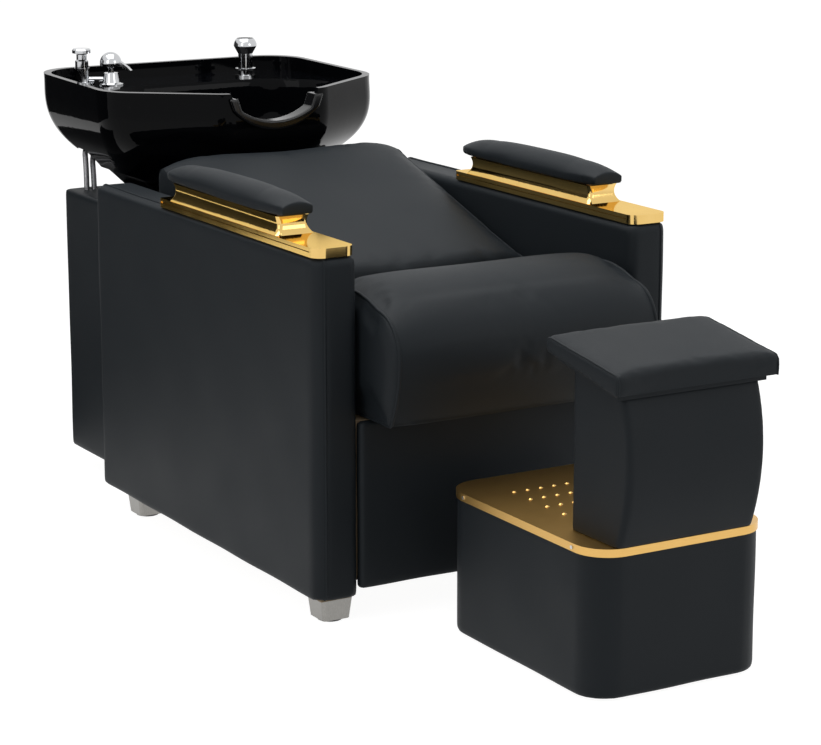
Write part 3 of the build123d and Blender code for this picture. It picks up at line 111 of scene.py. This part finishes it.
# %% Helpers for shader groups
varying = {"Height": "NodeSocketFloat", "Tone": "NodeSocketFloat", "Roughness": "NodeSocketFloat"}


def new_group(name, inputs):
    """A shader group with named number inputs and the three varying outputs, its entry node and its exit."""
    group = bpy.data.node_groups.new(name, "ShaderNodeTree")
    for label, value in inputs.items():
        socket = group.interface.new_socket(label, in_out="INPUT", socket_type="NodeSocketFloat")
        socket.default_value = value
    for label, kind in varying.items():
        group.interface.new_socket(label, in_out="OUTPUT", socket_type=kind)
    return group, group.nodes.new("NodeGroupInput"), group.nodes.new("NodeGroupOutput")


def add_node(tree, kind, links=(), **settings):
    """A node with its settings, and with links given as (input name, output socket)."""
    node = tree.nodes.new(kind)
    for label, value in settings.items():
        setattr(node, label, value)
    for label, source in links:
        tree.links.new(source, node.inputs[label])
    return node


def object_noise(tree, scale_socket, detail, stretch=(1, 1, 1)):
    """Noise over the object's own coordinates, drawn out along an axis where stretch is small."""
    place = add_node(tree, "ShaderNodeTexCoord")
    mapping = add_node(tree, "ShaderNodeMapping", [("Vector", place.outputs["Object"])])
    mapping.inputs["Scale"].default_value = stretch
    noise = add_node(tree, "ShaderNodeTexNoise", [("Vector", mapping.outputs["Vector"])])
    tree.links.new(scale_socket, noise.inputs["Scale"])
    noise.inputs["Detail"].default_value = detail
    return noise.outputs["Fac"]


def remap(tree, source, low, high):
    """Takes a value from 0 to 1 to the range from low to high."""
    ranger = add_node(tree, "ShaderNodeMapRange", [("Value", source)])
    ranger.inputs["To Min"].default_value = low
    ranger.inputs["To Max"].default_value = high
    return ranger.outputs["Result"]


# %% [markdown]
# Leatherette is a coated cloth, embossed with a fine pebble: small flat cells about a millimetre across with
# narrow valleys between them. Seen from a step away the grain only breaks up the light. A slow cloud paints
# sheen and shade into the colour, lighter and darker in random patches, and varies the roughness with them.
# So there are two scales here: cells for the emboss, and a soft cloud for the painted sheen and shade.

# %% Leather grain and painted sheen group
pebble_scale = 900.0
valley_width = 0.25
cloud_scale = 6.0
cloud_detail = 4.0
painted_sheen_tones = (0.25, 0.75)
leather_roughness = (0.46, 0.62)


def make_leather_grain():
    group, entry, out = new_group("leather_grain_and_sheen", {"Pebble Scale": pebble_scale, "Cloud Scale": cloud_scale})
    place = add_node(group, "ShaderNodeTexCoord")
    cells = add_node(group, "ShaderNodeTexVoronoi", [("Vector", place.outputs["Object"])])
    cells.feature = "DISTANCE_TO_EDGE"
    group.links.new(entry.outputs["Pebble Scale"], cells.inputs["Scale"])
    valley = add_node(group, "ShaderNodeMapRange", [("Value", cells.outputs["Distance"])])
    valley.inputs["From Max"].default_value = valley_width
    # Painted sheen and shade: this slow cloud makes the leather's colour lighter and darker in random patches,
    # and it also varies the roughness.
    cloud = object_noise(group, entry.outputs["Cloud Scale"], cloud_detail)
    group.links.new(valley.outputs["Result"], out.inputs["Height"])
    group.links.new(remap(group, cloud, *painted_sheen_tones), out.inputs["Tone"])
    group.links.new(remap(group, cloud, *leather_roughness), out.inputs["Roughness"])
    return group


leather_grain_and_sheen = make_leather_grain()
print("group", leather_grain_and_sheen.name)

# %% [markdown]
# Brushed metal has fine scratches that all run one way, so its noise is drawn out along that way, and the
# grain of a board is the same on a larger scale. Polished metal and glaze have hardly any, only faint smears
# from hands and cloths, and moulded plastic has an even stipple. One recipe makes them all: the stretch makes
# the streaks, and the two ends of the roughness are set for each material.

# %% Streak, smear and stipple groups
streak_detail = 5.0


def make_streaks(name, stretch, scale, rough_low, rough_high):
    group, entry, out = new_group(name, {"Scale": scale})
    streak = object_noise(group, entry.outputs["Scale"], streak_detail, stretch)
    group.links.new(streak, out.inputs["Height"])
    group.links.new(streak, out.inputs["Tone"])
    group.links.new(remap(group, streak, rough_low, rough_high), out.inputs["Roughness"])
    return group


brushed_along_x = make_streaks("brushed_along_x", (1, 60, 60), 30.0, 0.26, 0.42)
brushed_upright = make_streaks("brushed_upright", (60, 60, 1), 30.0, 0.24, 0.40)
wiped_smears = make_streaks("wiped_smears", (1, 1, 1), 14.0, 0.06, 0.14)
wiped_glaze = make_streaks("wiped_glaze", (1, 1, 1), 9.0, 0.03, 0.07)
soft_gloss = make_streaks("soft_gloss", (1, 1, 1), 30.0, 0.10, 0.18)
moulded_stipple = make_streaks("moulded_stipple", (1, 1, 1), 600.0, 0.42, 0.58)
board_grain = make_streaks("board_grain", (40, 1, 40), 12.0, 0.55, 0.75)
print("groups", len(bpy.data.node_groups))

# %% [markdown]
# A braided hose is a weave of fine bright wires over a rubber core. Two bands of waves that cross each other
# give the diamonds; their product is high where one wire passes over another.

# %% Braid group
braid_scale = 260.0
braid_lay = math.radians(45)
valley_roughness = 0.45
crown_roughness = 0.25


def make_braid():
    group, entry, out = new_group("braid_weave", {"Scale": braid_scale})
    place = add_node(group, "ShaderNodeTexCoord")
    bands = []
    for turn in (braid_lay, -braid_lay):
        mapping = add_node(group, "ShaderNodeMapping", [("Vector", place.outputs["Object"])])
        mapping.inputs["Rotation"].default_value = (turn, turn, 0)
        wave = add_node(group, "ShaderNodeTexWave", [("Vector", mapping.outputs["Vector"])])
        group.links.new(entry.outputs["Scale"], wave.inputs["Scale"])
        bands.append(wave.outputs["Fac"])
    crossing = add_node(group, "ShaderNodeMath", operation="MULTIPLY")
    group.links.new(bands[0], crossing.inputs[0])
    group.links.new(bands[1], crossing.inputs[1])
    group.links.new(crossing.outputs["Value"], out.inputs["Height"])
    group.links.new(crossing.outputs["Value"], out.inputs["Tone"])
    roughness = remap(group, crossing.outputs["Value"], valley_roughness, crown_roughness)
    group.links.new(roughness, out.inputs["Roughness"])
    return group


braid_weave = make_braid()
print("group", braid_weave.name)

# %% [markdown]
# Each finish is one Principled shader: a dark and a light colour that the group's tone runs between, the
# group's roughness, and a Bump that is only as deep as the real texture, in metres.

# %% Finish recipe
def finish(name, group, dark, light, depth, **uniform):
    """A material whose colour, roughness and bump come from a group; uniform numbers stay on the shader."""
    material = bpy.data.materials.new(name)
    material.use_nodes = True
    tree = material.node_tree
    shader = tree.nodes["Principled BSDF"]
    pattern = add_node(tree, "ShaderNodeGroup", node_tree=group)
    ramp = add_node(tree, "ShaderNodeValToRGB", [("Fac", pattern.outputs["Tone"])])
    ramp.color_ramp.elements[0].color = (*dark, 1)
    ramp.color_ramp.elements[1].color = (*light, 1)
    bump = add_node(tree, "ShaderNodeBump", [("Height", pattern.outputs["Height"])])
    bump.inputs["Distance"].default_value = depth
    tree.links.new(ramp.outputs["Color"], shader.inputs["Base Color"])
    tree.links.new(pattern.outputs["Roughness"], shader.inputs["Roughness"])
    tree.links.new(bump.outputs["Normal"], shader.inputs["Normal"])
    for label, value in uniform.items():
        shader.inputs[label.replace("_", " ")].default_value = value
    return material


gold_dark = (0.66, 0.42, 0.12)
gold_light = (0.86, 0.61, 0.24)
gold_edge = (1, 0.84, 0.48, 1)
finishes = {
    # The leatherette's two colours are the ends of the painted sheen and shade that the leather group's cloud
    # spreads over it.
    "leatherette": finish(
        "black_leatherette", leather_grain_and_sheen, (0.0088, 0.0116, 0.0142), (0.0148, 0.0186, 0.0222), 0.00006,
        Specular_IOR_Level=0.16,
    ),
    "wood": finish("frame_board", board_grain, (0.36, 0.25, 0.14), (0.58, 0.44, 0.28), 0.0001),
    "stainless": finish(
        "foot_stainless", brushed_upright, (0.18, 0.175, 0.165), (0.36, 0.35, 0.33), 0.00002, Metallic=1,
    ),
    "gold_mirror": finish(
        "polished_gold", wiped_smears, gold_dark, gold_light, 0.000004, Metallic=1,
        Specular_Tint=gold_edge,
    ),
    "gold_satin": finish(
        "brushed_gold", brushed_along_x, (0.6, 0.35, 0.1), (0.78, 0.5, 0.17), 0.00002, Metallic=1,
    ),
    "ceramic": finish(
        "black_glaze", wiped_glaze, (0.0012, 0.0014, 0.002), (0.0024, 0.0026, 0.0034), 0.000008,
        Specular_IOR_Level=0.07,
    ),
    "gloss_black": finish(
        "black_paint", wiped_glaze, (0.002, 0.002, 0.003), (0.004, 0.004, 0.005), 0.00001,
        Specular_IOR_Level=0.16,
    ),
    "gel": finish(
        "black_gel", soft_gloss, (0.002, 0.002, 0.0025), (0.004, 0.004, 0.0048), 0.00001,
        Specular_IOR_Level=0.34,
    ),
    "chrome": finish(
        "fitting_chrome", wiped_smears, (0.46, 0.47, 0.49), (0.64, 0.65, 0.66), 0.000003, Metallic=1,
    ),
    "black_plastic": finish(
        "moulded_black", moulded_stipple, (0.01, 0.01, 0.011), (0.018, 0.018, 0.02), 0.00003,
    ),
    "panel": finish("rear_panel", moulded_stipple, (0.018, 0.019, 0.02), (0.026, 0.027, 0.029), 0.00004),
    "steel": finish("stand_steel", wiped_glaze, (0.012, 0.012, 0.013), (0.02, 0.02, 0.022), 0.00003),
    "zinc": finish("bright_zinc", brushed_upright, (0.5, 0.5, 0.5), (0.68, 0.68, 0.66), 0.00002, Metallic=1),
    "hose_grey": finish("drain_rubber", moulded_stipple, (0.16, 0.165, 0.17), (0.22, 0.225, 0.23), 0.00005),
    "braid": finish("steel_braid", braid_weave, (0.16, 0.16, 0.17), (0.78, 0.78, 0.8), 0.0003, Metallic=1),
    "brass_raw": finish(
        "raw_brass", brushed_upright, (0.46, 0.33, 0.12), (0.66, 0.5, 0.22), 0.00002, Metallic=1,
    ),
}
for node, cad_object in frame["nodes"].items():
    cad_object.data.materials.clear()
    cad_object.data.materials.append(finishes[node_slots[node]])
print("finishes", len(finishes), "slots in use", len(set(node_slots.values())))

# %% [markdown]
# The metal and ceramic pieces keep the construction model's meshes, because their shape is what was measured.
# Only their shading is made smooth, with sharp edges kept where two faces meet at more than 35 degrees.

# %% Shade the hard pieces
smooth_angle = math.radians(35)


def shade_by_angle(piece, angle=smooth_angle):
    piece.data.shade_smooth()
    piece.data.set_sharp_from_angle(angle=angle)


for cad_object in frame["nodes"].values():
    shade_by_angle(cad_object)

# %% [markdown]
# Upholstery starts from the soft solid's own mesh. A voxel remesh turns it into one even skin of small
# squares, which can then swell, be smoothed and take seams. A cushion also starts a little smaller than its
# solid, because it grows when it is blown up like a balloon.

# %% Helpers for upholstery
def even_skin(node, name, voxel):
    """A copy of a soft solid as one even skin."""
    mesh = frame["nodes"][node].data.copy()
    piece = bpy.data.objects.new(name, mesh)
    scene.collection.objects.link(piece)
    remesh = piece.modifiers.new("even_skin", "REMESH")
    remesh.mode = "VOXEL"
    remesh.voxel_size = voxel
    remesh.use_smooth_shade = True
    settle(piece)
    return piece


def settle(piece):
    """Applies the piece's modifiers to its mesh."""
    dressed = piece.evaluated_get(bpy.context.evaluated_depsgraph_get())
    finished = bpy.data.meshes.new_from_object(dressed)
    piece.modifiers.clear()
    piece.data = finished
    finished.shade_smooth()


def relax(piece, rounds, factor=0.5):
    """Evens out the steps that a remesh leaves, and rounds the edges a little."""
    smooth = piece.modifiers.new("relax", "SMOOTH")
    smooth.iterations = rounds
    smooth.factor = factor
    settle(piece)


def points_of(mesh, field="co"):
    values = np.zeros(len(mesh.vertices) * 3)
    mesh.vertices.foreach_get(field, values)
    return values.reshape(-1, 3)


def set_points(mesh, places):
    mesh.vertices.foreach_set("co", places.reshape(-1))
    mesh.update()


def dress(piece, node, slot="leatherette"):
    """Gives the piece its finish, hides the solid that it stands for, and lets it ride on that solid's body."""
    piece.data.materials.clear()
    piece.data.materials.append(finishes[slot])
    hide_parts(node)
    body = frame["nodes"][node]["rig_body"]
    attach(piece, body)
    return piece


# %% [markdown]
# Blowing up a cushion: Blender's cloth, with pressure inside and no gravity, pulls the sides in and crowns
# the faces as foam under a tight cover does. A point may move only a few millimetres, and the points of the
# underside move less, because the cushion rests on its deck there. The armrest pads then get a fuller end, so
# that each closes in a small upright face instead of a thin lip.

# %% Blow up a cushion
swell_frames = 20
cloth_pressure = 4
underside_slope = -0.8
underside_share = 0.3
least_reach = 1e-9
cushion_rounds = 2


def blow_up(piece, inset, cap):
    """Draws the skin in, swells it as cloth and caps how far each point has moved."""
    mesh = piece.data
    start = points_of(mesh) - points_of(mesh, "normal") * inset
    resting = points_of(mesh, "normal")[:, 2] < underside_slope
    set_points(mesh, start)
    cloth = piece.modifiers.new("swell", "CLOTH")
    cloth.settings.use_pressure = True
    cloth.settings.uniform_pressure_force = cloth_pressure
    cloth.settings.effector_weights.gravity = 0
    for number in range(1, swell_frames + 1):
        scene.frame_set(number)
    dressed = piece.evaluated_get(bpy.context.evaluated_depsgraph_get())
    swollen = points_of(dressed.data)
    piece.modifiers.clear()
    scene.frame_set(1)
    moved = swollen - start
    reach = np.linalg.norm(moved, axis=1, keepdims=True)
    moved *= np.minimum(1, cap / np.maximum(reach, least_reach))
    moved[resting] *= underside_share
    set_points(mesh, start + moved)
    relax(piece, cushion_rounds)
    furthest = round(float(reach.max()) / millimetre, 1)
    print(piece.name, "points", len(mesh.vertices), "swelled by", furthest, "mm")


end_reach = 0.09
end_lift = 0.008
end_face = 0.006


def fill_ends(piece, node):
    """Lifts the top of a pad towards both ends, so that each ends in a small upright face."""
    low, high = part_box(node)
    places = points_of(piece.data)
    from_end = np.minimum(places[:, 1] - low.y, high.y - places[:, 1])
    near = np.clip(1 - from_end / end_reach, 0, 1)
    above = np.clip((places[:, 2] - low.z) / end_face, 0, 1)
    places[:, 2] += end_lift * near * above
    set_points(piece.data, places)


cushions = {
    "seat_cushion": ("seat_roll", 0.007, 0.004, 0.006, 0.75),
    "back_cushion": ("back_pad", 0.007, 0.004, 0.006, 0.75),
    "arm_left_pad": ("left_armrest_pad", 0.003, 0.0008, 0.0016, 0.9),
    "arm_right_pad": ("right_armrest_pad", 0.003, 0.0008, 0.0016, 0.9),
    "calf_pad": ("calf_cushion", 0.005, 0.003, 0.004, 0.8),
}
pieces = {}
for node, (name, voxel, inset, cap, fill) in cushions.items():
    cushion = even_skin(node, name, voxel)
    blow_up(cushion, inset, cap)
    if "armrest" in name:
        fill_ends(cushion, node)
    pieces[name] = dress(cushion, node)

# %% [markdown]
# The tall boxes, the front panel, the housing and the footstool are boards wrapped in the same leatherette
# over a thin layer of foam. The wrap rounds the edges and never lies dead flat. So the even skin is relaxed,
# stretched back to the box of its board, and given a slow ripple of about half a millimetre. The front panel
# is pulled a little wider than its board, so that no bare wood shows between it and the arm boxes.

# %% Wrap the covered boards
ripple_height = 0.0006
ripple_length = 0.16
ripple_waves = ((0.3, 1.0), (1.4, 0.77), (2.5, 1.31))
wrap_rounds = 3


def soft_ripple(piece):
    """Moves each point along its normal by slow waves that run three ways."""
    places = points_of(piece.data)
    waves = np.zeros(len(places))
    for turn, stretch in ripple_waves:
        way = np.array([math.cos(turn), math.sin(turn), math.cos(2 * turn)])
        waves += np.sin(places @ way * math.tau * stretch / ripple_length + turn)
    lift = waves * ripple_height / len(ripple_waves)
    set_points(piece.data, places + points_of(piece.data, "normal") * lift[:, None])


def fill_box(piece, node, spare=0):
    """Stretches a relaxed skin back to the box of its solid, with a spare width at the sides."""
    low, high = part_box(node)
    places = points_of(piece.data)
    least, most = places.min(axis=0), places.max(axis=0)
    wanted_low = np.array([low.x - spare, low.y, low.z])
    wanted_high = np.array([high.x + spare, high.y, high.z])
    places = wanted_low + (places - least) / (most - least) * (wanted_high - wanted_low)
    set_points(piece.data, places)


panel_spare = 0.001
covers = {
    "arm_left_cover": ("left_arm_wrap", 0.006),
    "arm_right_cover": ("right_arm_wrap", 0.006),
    "front_panel": ("front_panel_wrap", 0.005),
    "housing_shell": ("housing_wrap", 0.006),
    "stool_cover": ("footstool_wrap", 0.0045),
    "calf_post": ("calf_post_wrap", 0.004),
}
for node, (name, voxel) in covers.items():
    wrap = even_skin(node, name, voxel)
    relax(wrap, wrap_rounds)
    fill_box(wrap, node, panel_spare if node == "front_panel" else 0)
    soft_ripple(wrap)
    pieces[name] = dress(wrap, node)
    print(name, "points", len(wrap.data.vertices))

# %% [markdown]
# The gel neck rest is moulded in one, with every edge rounded. A fine skin and some relaxing round it.

# %% Mould the neck rest
gel_voxel = 0.0018
neck_gel = even_skin("neck_rest", "neck_gel", gel_voxel)
relax(neck_gel, wrap_rounds)
pieces["neck_gel"] = dress(neck_gel, "neck_rest", "gel")
print("neck_gel points", len(neck_gel.data.vertices))

# %% [markdown]
# Seams lie where two panels of leatherette meet. The line of a seam is found by cutting the finished skin
# with a plane and walking round the outer loop of the cut, so that it lies on the surface whatever the
# cushion did. A thin tube along it, half sunk, is the piping or the raised edge of the seam.

# %% Helpers for seams
seam_step = 0.008
fewest_points = 12


def cut_loop(piece, place, normal):
    """The longest loop in which a plane cuts the piece, as points an even step apart."""
    work = bmesh.new()
    work.from_mesh(piece.data)
    everything = work.verts[:] + work.edges[:] + work.faces[:]
    cut = bmesh.ops.bisect_plane(work, geom=everything, plane_co=place, plane_no=normal)["geom_cut"]
    neighbours = {}
    for edge in (item for item in cut if isinstance(item, bmesh.types.BMEdge)):
        first, second = edge.verts
        neighbours.setdefault(first, []).append(second)
        neighbours.setdefault(second, []).append(first)
    loops = []
    unused = dict.fromkeys(neighbours)
    while unused:
        here = unused.popitem()[0]
        loop = [here.co.copy()]
        following = [vert for vert in neighbours[here] if vert in unused]
        while following:
            here = following[0]
            del unused[here]
            loop.append(here.co.copy())
            following = [vert for vert in neighbours[here] if vert in unused]
        loops.append(loop)
    work.free()
    longest = max(loops, key=loop_length)
    return even_steps(longest)


def loop_length(loop):
    return sum((after - before).length for before, after in zip(loop, loop[1:] + loop[:1]))


def even_steps(loop):
    """The same closed loop with its points an even step apart."""
    closed = np.array([tuple(point) for point in loop + loop[:1]])
    along = np.concatenate([[0], np.cumsum(np.linalg.norm(np.diff(closed, axis=0), axis=1))])
    count = max(fewest_points, round(along[-1] / seam_step))
    wanted = np.linspace(0, along[-1], count, endpoint=False)
    spots = np.column_stack([np.interp(wanted, along, closed[:, axis]) for axis in range(3)])
    return [Vector(spot) for spot in spots]


def tube(name, points, radius, slot, body):
    """A closed round tube through points, made into a mesh."""
    curve = bpy.data.curves.new(name, "CURVE")
    curve.dimensions = "3D"
    curve.bevel_depth = radius
    curve.bevel_resolution = 2
    spline = curve.splines.new("POLY")
    spline.points.add(len(points) - 1)
    for spot, point in zip(spline.points, points):
        spot.co = (*point, 1)
    spline.use_cyclic_u = True
    line = bpy.data.objects.new(name, curve)
    scene.collection.objects.link(line)
    mesh = bpy.data.meshes.new_from_object(line.evaluated_get(bpy.context.evaluated_depsgraph_get()))
    bpy.data.objects.remove(line)
    piece = bpy.data.objects.new(name, mesh)
    scene.collection.objects.link(piece)
    mesh.materials.clear()
    mesh.materials.append(finishes[slot])
    mesh.shade_smooth()
    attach(piece, body)
    return piece


def seam(name, piece, place, normal, radius, body):
    """A seam round the piece where a plane cuts it."""
    pieces[name] = tube(name, cut_loop(piece, place, normal), radius, "leatherette", body)


# %% [markdown]
# The seat roll and the calf cushion have a side panel at each end, joined to the top by piping. The back pad
# and the calf post have a flat seam there. The arm boxes have one seam that runs up the front, over the top
# and down the back, near the outer edge.

# %% Sew the seams
piping_radius = 0.0030
calf_piping_radius = 0.0020
flat_seam_radius = 0.0016
arm_seam_radius = 0.0024
roll_seam_inset = 0.012
calf_seam_inset = 0.010
arm_seam_inset = 0.018
post_seam_inset = 0.012
side_names = {-1: "left", 1: "right"}


def end_place(node, side, inset):
    """A point on the plane that stands an inset inside one end of a node."""
    low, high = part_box(node)
    return Vector(((low.x + inset) if side < 0 else (high.x - inset), 0, 0))


for side, side_name in side_names.items():
    across = Vector((1, 0, 0))
    seam(f"seat_piping_{side_name}", pieces["seat_roll"], end_place("seat_cushion", side, roll_seam_inset),
         across, piping_radius, "chair")
    seam(f"back_seam_{side_name}", pieces["back_pad"], end_place("back_cushion", side, roll_seam_inset),
         across, flat_seam_radius, "chair")
    seam(f"calf_piping_{side_name}", pieces["calf_cushion"], end_place("calf_pad", side, calf_seam_inset),
         across, calf_piping_radius, "footstool")
    seam(f"post_seam_{side_name}", pieces["calf_post_wrap"], end_place("calf_post", side, post_seam_inset),
         across, flat_seam_radius, "footstool")
    arm_node = f"arm_{side_name}_cover"
    seam(f"arm_seam_{side_name}", pieces[f"{side_name}_arm_wrap"], end_place(arm_node, side, arm_seam_inset),
         across, arm_seam_radius, "chair")
print("seams", sum("seam" in name or "piping" in name for name in pieces))

# %% [markdown]
# The hoses hang on routes of listed points, the same routes as in the construction model. A smooth
# spline with those points as its handles gives the line, and the tube is swept along it.

# %% Hang the hoses
drain_route = [
    (0, 647.5, 520), (0, 647.5, 440), (0, 604, 296), (0, 612, 222), (0, 656, 168), (0, 718, 150),
    (0, 768.5, 150),
]
hot_route = [
    (-161, 849.5, 735), (-161, 849.5, 699), (-198, 838, 662), (-238, 802, 648), (-242, 785.5, 612),
    (-242, 785.5, 470), (-238, 768, 392), (-225, 735, 320), (-208, 702, 262), (-194, 690, 214),
    (-182, 703, 180), (-174, 738, 168), (-172, 783.5, 170),
]
cold_route = [
    (-149, 849.5, 735), (-149, 849.5, 690), (-190, 838, 648), (-222, 803, 628), (-226, 785.5, 593),
    (-226, 785.5, 455), (-220, 768, 378), (-200, 735, 308), (-170, 702, 254), (-142, 688, 210),
    (-119, 701, 180), (-105, 738, 168), (-102, 783.5, 170),
]


def hose_line(route):
    """A smooth spline with the route's points as its control points, in metres."""
    curve = bpy.data.curves.new("hose_line", "CURVE")
    curve.dimensions = "3D"
    curve.resolution_u = 10
    spline = curve.splines.new("NURBS")
    spline.points.add(len(route) - 1)
    for spot, point in zip(spline.points, route):
        spot.co = (*(value * millimetre for value in point), 1)
    spline.order_u = 3
    spline.use_endpoint_u = True
    return curve


def line_points(curve):
    """The points along a curve that has no thickness yet."""
    line = bpy.data.objects.new("hose_probe", curve)
    scene.collection.objects.link(line)
    mesh = bpy.data.meshes.new_from_object(line.evaluated_get(bpy.context.evaluated_depsgraph_get()))
    bpy.data.objects.remove(line)
    return [vertex.co.copy() for vertex in mesh.vertices]


def hang_hose(name, node, route, radius, slot):
    """A tube swept along the route, which stands in for the hose's solid and hides it."""
    curve = hose_line(route)
    path = line_points(curve)
    curve.bevel_depth = radius
    curve.bevel_resolution = 5
    line = bpy.data.objects.new("hose_sweep", curve)
    scene.collection.objects.link(line)
    mesh = bpy.data.meshes.new_from_object(line.evaluated_get(bpy.context.evaluated_depsgraph_get()))
    bpy.data.objects.remove(line)
    piece = bpy.data.objects.new(name, mesh)
    scene.collection.objects.link(piece)
    mesh.materials.clear()
    mesh.materials.append(finishes[slot])
    mesh.shade_smooth()
    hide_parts(node)
    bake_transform(piece)
    pieces[name] = piece


drain_radius = 0.020
supply_radius = 0.0055
hang_hose("drain_pipe_hose", "drain_hose", drain_route, drain_radius, "hose_grey")
hang_hose("hot_braided_hose", "supply_hose_hot", hot_route, supply_radius, "braid")
hang_hose("cold_braided_hose", "supply_hose_cold", cold_route, supply_radius, "braid")

# %% [markdown]
# The studio is a white sweep with soft boxes. The world is plain white to the camera and in reflections, and
# dimmer for the light that it sheds, so a colour renders about as it is written. The floor is white to the
# camera and still takes a faint shadow under the object. Two black cards, seen only in reflections, give the
# gold, the chrome and the glaze their dark bands.

# %% Light the studio
light_of_the_world = 0.29
paper_glow = 0.95
paper_grey = 0.3
paper_reach = 14


def seen_ray(tree):
    """One for the rays that show a background: to the camera, in a reflection or through glass."""
    path = add_node(tree, "ShaderNodeLightPath")
    seen = path.outputs["Is Camera Ray"]
    for ray in ("Is Glossy Ray", "Is Transmission Ray"):
        either = add_node(tree, "ShaderNodeMath", operation="MAXIMUM")
        tree.links.new(seen, either.inputs[0])
        tree.links.new(path.outputs[ray], either.inputs[1])
        seen = either.outputs["Value"]
    return seen


def world_sweep():
    world = bpy.data.worlds.new("white_sweep")
    world.use_nodes = True
    tree = world.node_tree
    background = tree.nodes["Background"]
    tree.links.new(remap(tree, seen_ray(tree), light_of_the_world, 1.0), background.inputs["Strength"])
    background.inputs["Color"].default_value = (1, 1, 1, 1)
    scene.world = world


def soft_box(name, place, target, width, height, power):
    data = bpy.data.lights.new(name, "AREA")
    data.shape = "RECTANGLE"
    data.size = width
    data.size_y = height
    data.energy = power
    lamp = bpy.data.objects.new(name, data)
    lamp.location = place
    lamp.rotation_euler = (Vector(target) - Vector(place)).to_track_quat("-Z", "Y").to_euler()
    scene.collection.objects.link(lamp)


def sheet_corners(width, height):
    """The corners of a flat sheet about its middle."""
    x, y = width / 2, height / 2
    return [(-x, -y, 0), (x, -y, 0), (x, y, 0), (-x, y, 0)]


def white_floor():
    mesh = bpy.data.meshes.new("studio_floor")
    mesh.from_pydata(sheet_corners(2 * paper_reach, 2 * paper_reach), [], [(0, 1, 2, 3)])
    floor = bpy.data.objects.new("studio_floor", mesh)
    scene.collection.objects.link(floor)
    material = bpy.data.materials.new("sweep_paper")
    material.use_nodes = True
    tree = material.node_tree
    shader = tree.nodes["Principled BSDF"]
    shader.inputs["Base Color"].default_value = (paper_grey, paper_grey, paper_grey, 1)
    shader.inputs["Roughness"].default_value = 1
    shader.inputs["Specular IOR Level"].default_value = 0
    shader.inputs["Emission Color"].default_value = (1, 1, 1, 1)
    tree.links.new(remap(tree, seen_ray(tree), 0.0, paper_glow), shader.inputs["Emission Strength"])
    mesh.materials.append(material)


def black_flag(name, place, target, width, height):
    """A black card that shows only in reflections, as a product studio uses to give metal its dark edges."""
    mesh = bpy.data.meshes.new(name)
    mesh.from_pydata(sheet_corners(width, height), [], [(0, 1, 2, 3)])
    card = bpy.data.objects.new(name, mesh)
    card.location = place
    card.rotation_euler = (Vector(target) - Vector(place)).to_track_quat("Z", "Y").to_euler()
    scene.collection.objects.link(card)
    card.visible_camera = False
    card.visible_diffuse = False
    card.visible_shadow = False
    mesh.materials.append(finishes["panel"])


world_sweep()
white_floor()
middle = (0, 0.2, 0.4)
soft_box("top_box", (-0.4, 0.3, 3.2), middle, 2.6, 2.6, 70)
soft_box("left_box", (-3.2, -1.2, 1.9), middle, 1.6, 2.2, 15)
soft_box("front_box", (1.6, -3.4, 2.0), middle, 1.6, 1.6, 14)
black_flag("flag_raised", (-1.6, 2.5, 0.9), middle, 3.4, 1.7)
black_flag("flag_on_floor", (-0.7, 1.75, 0.01), (-0.7, 1.75, 1), 1.5, 1.6)
print("lights", len(bpy.data.lights))
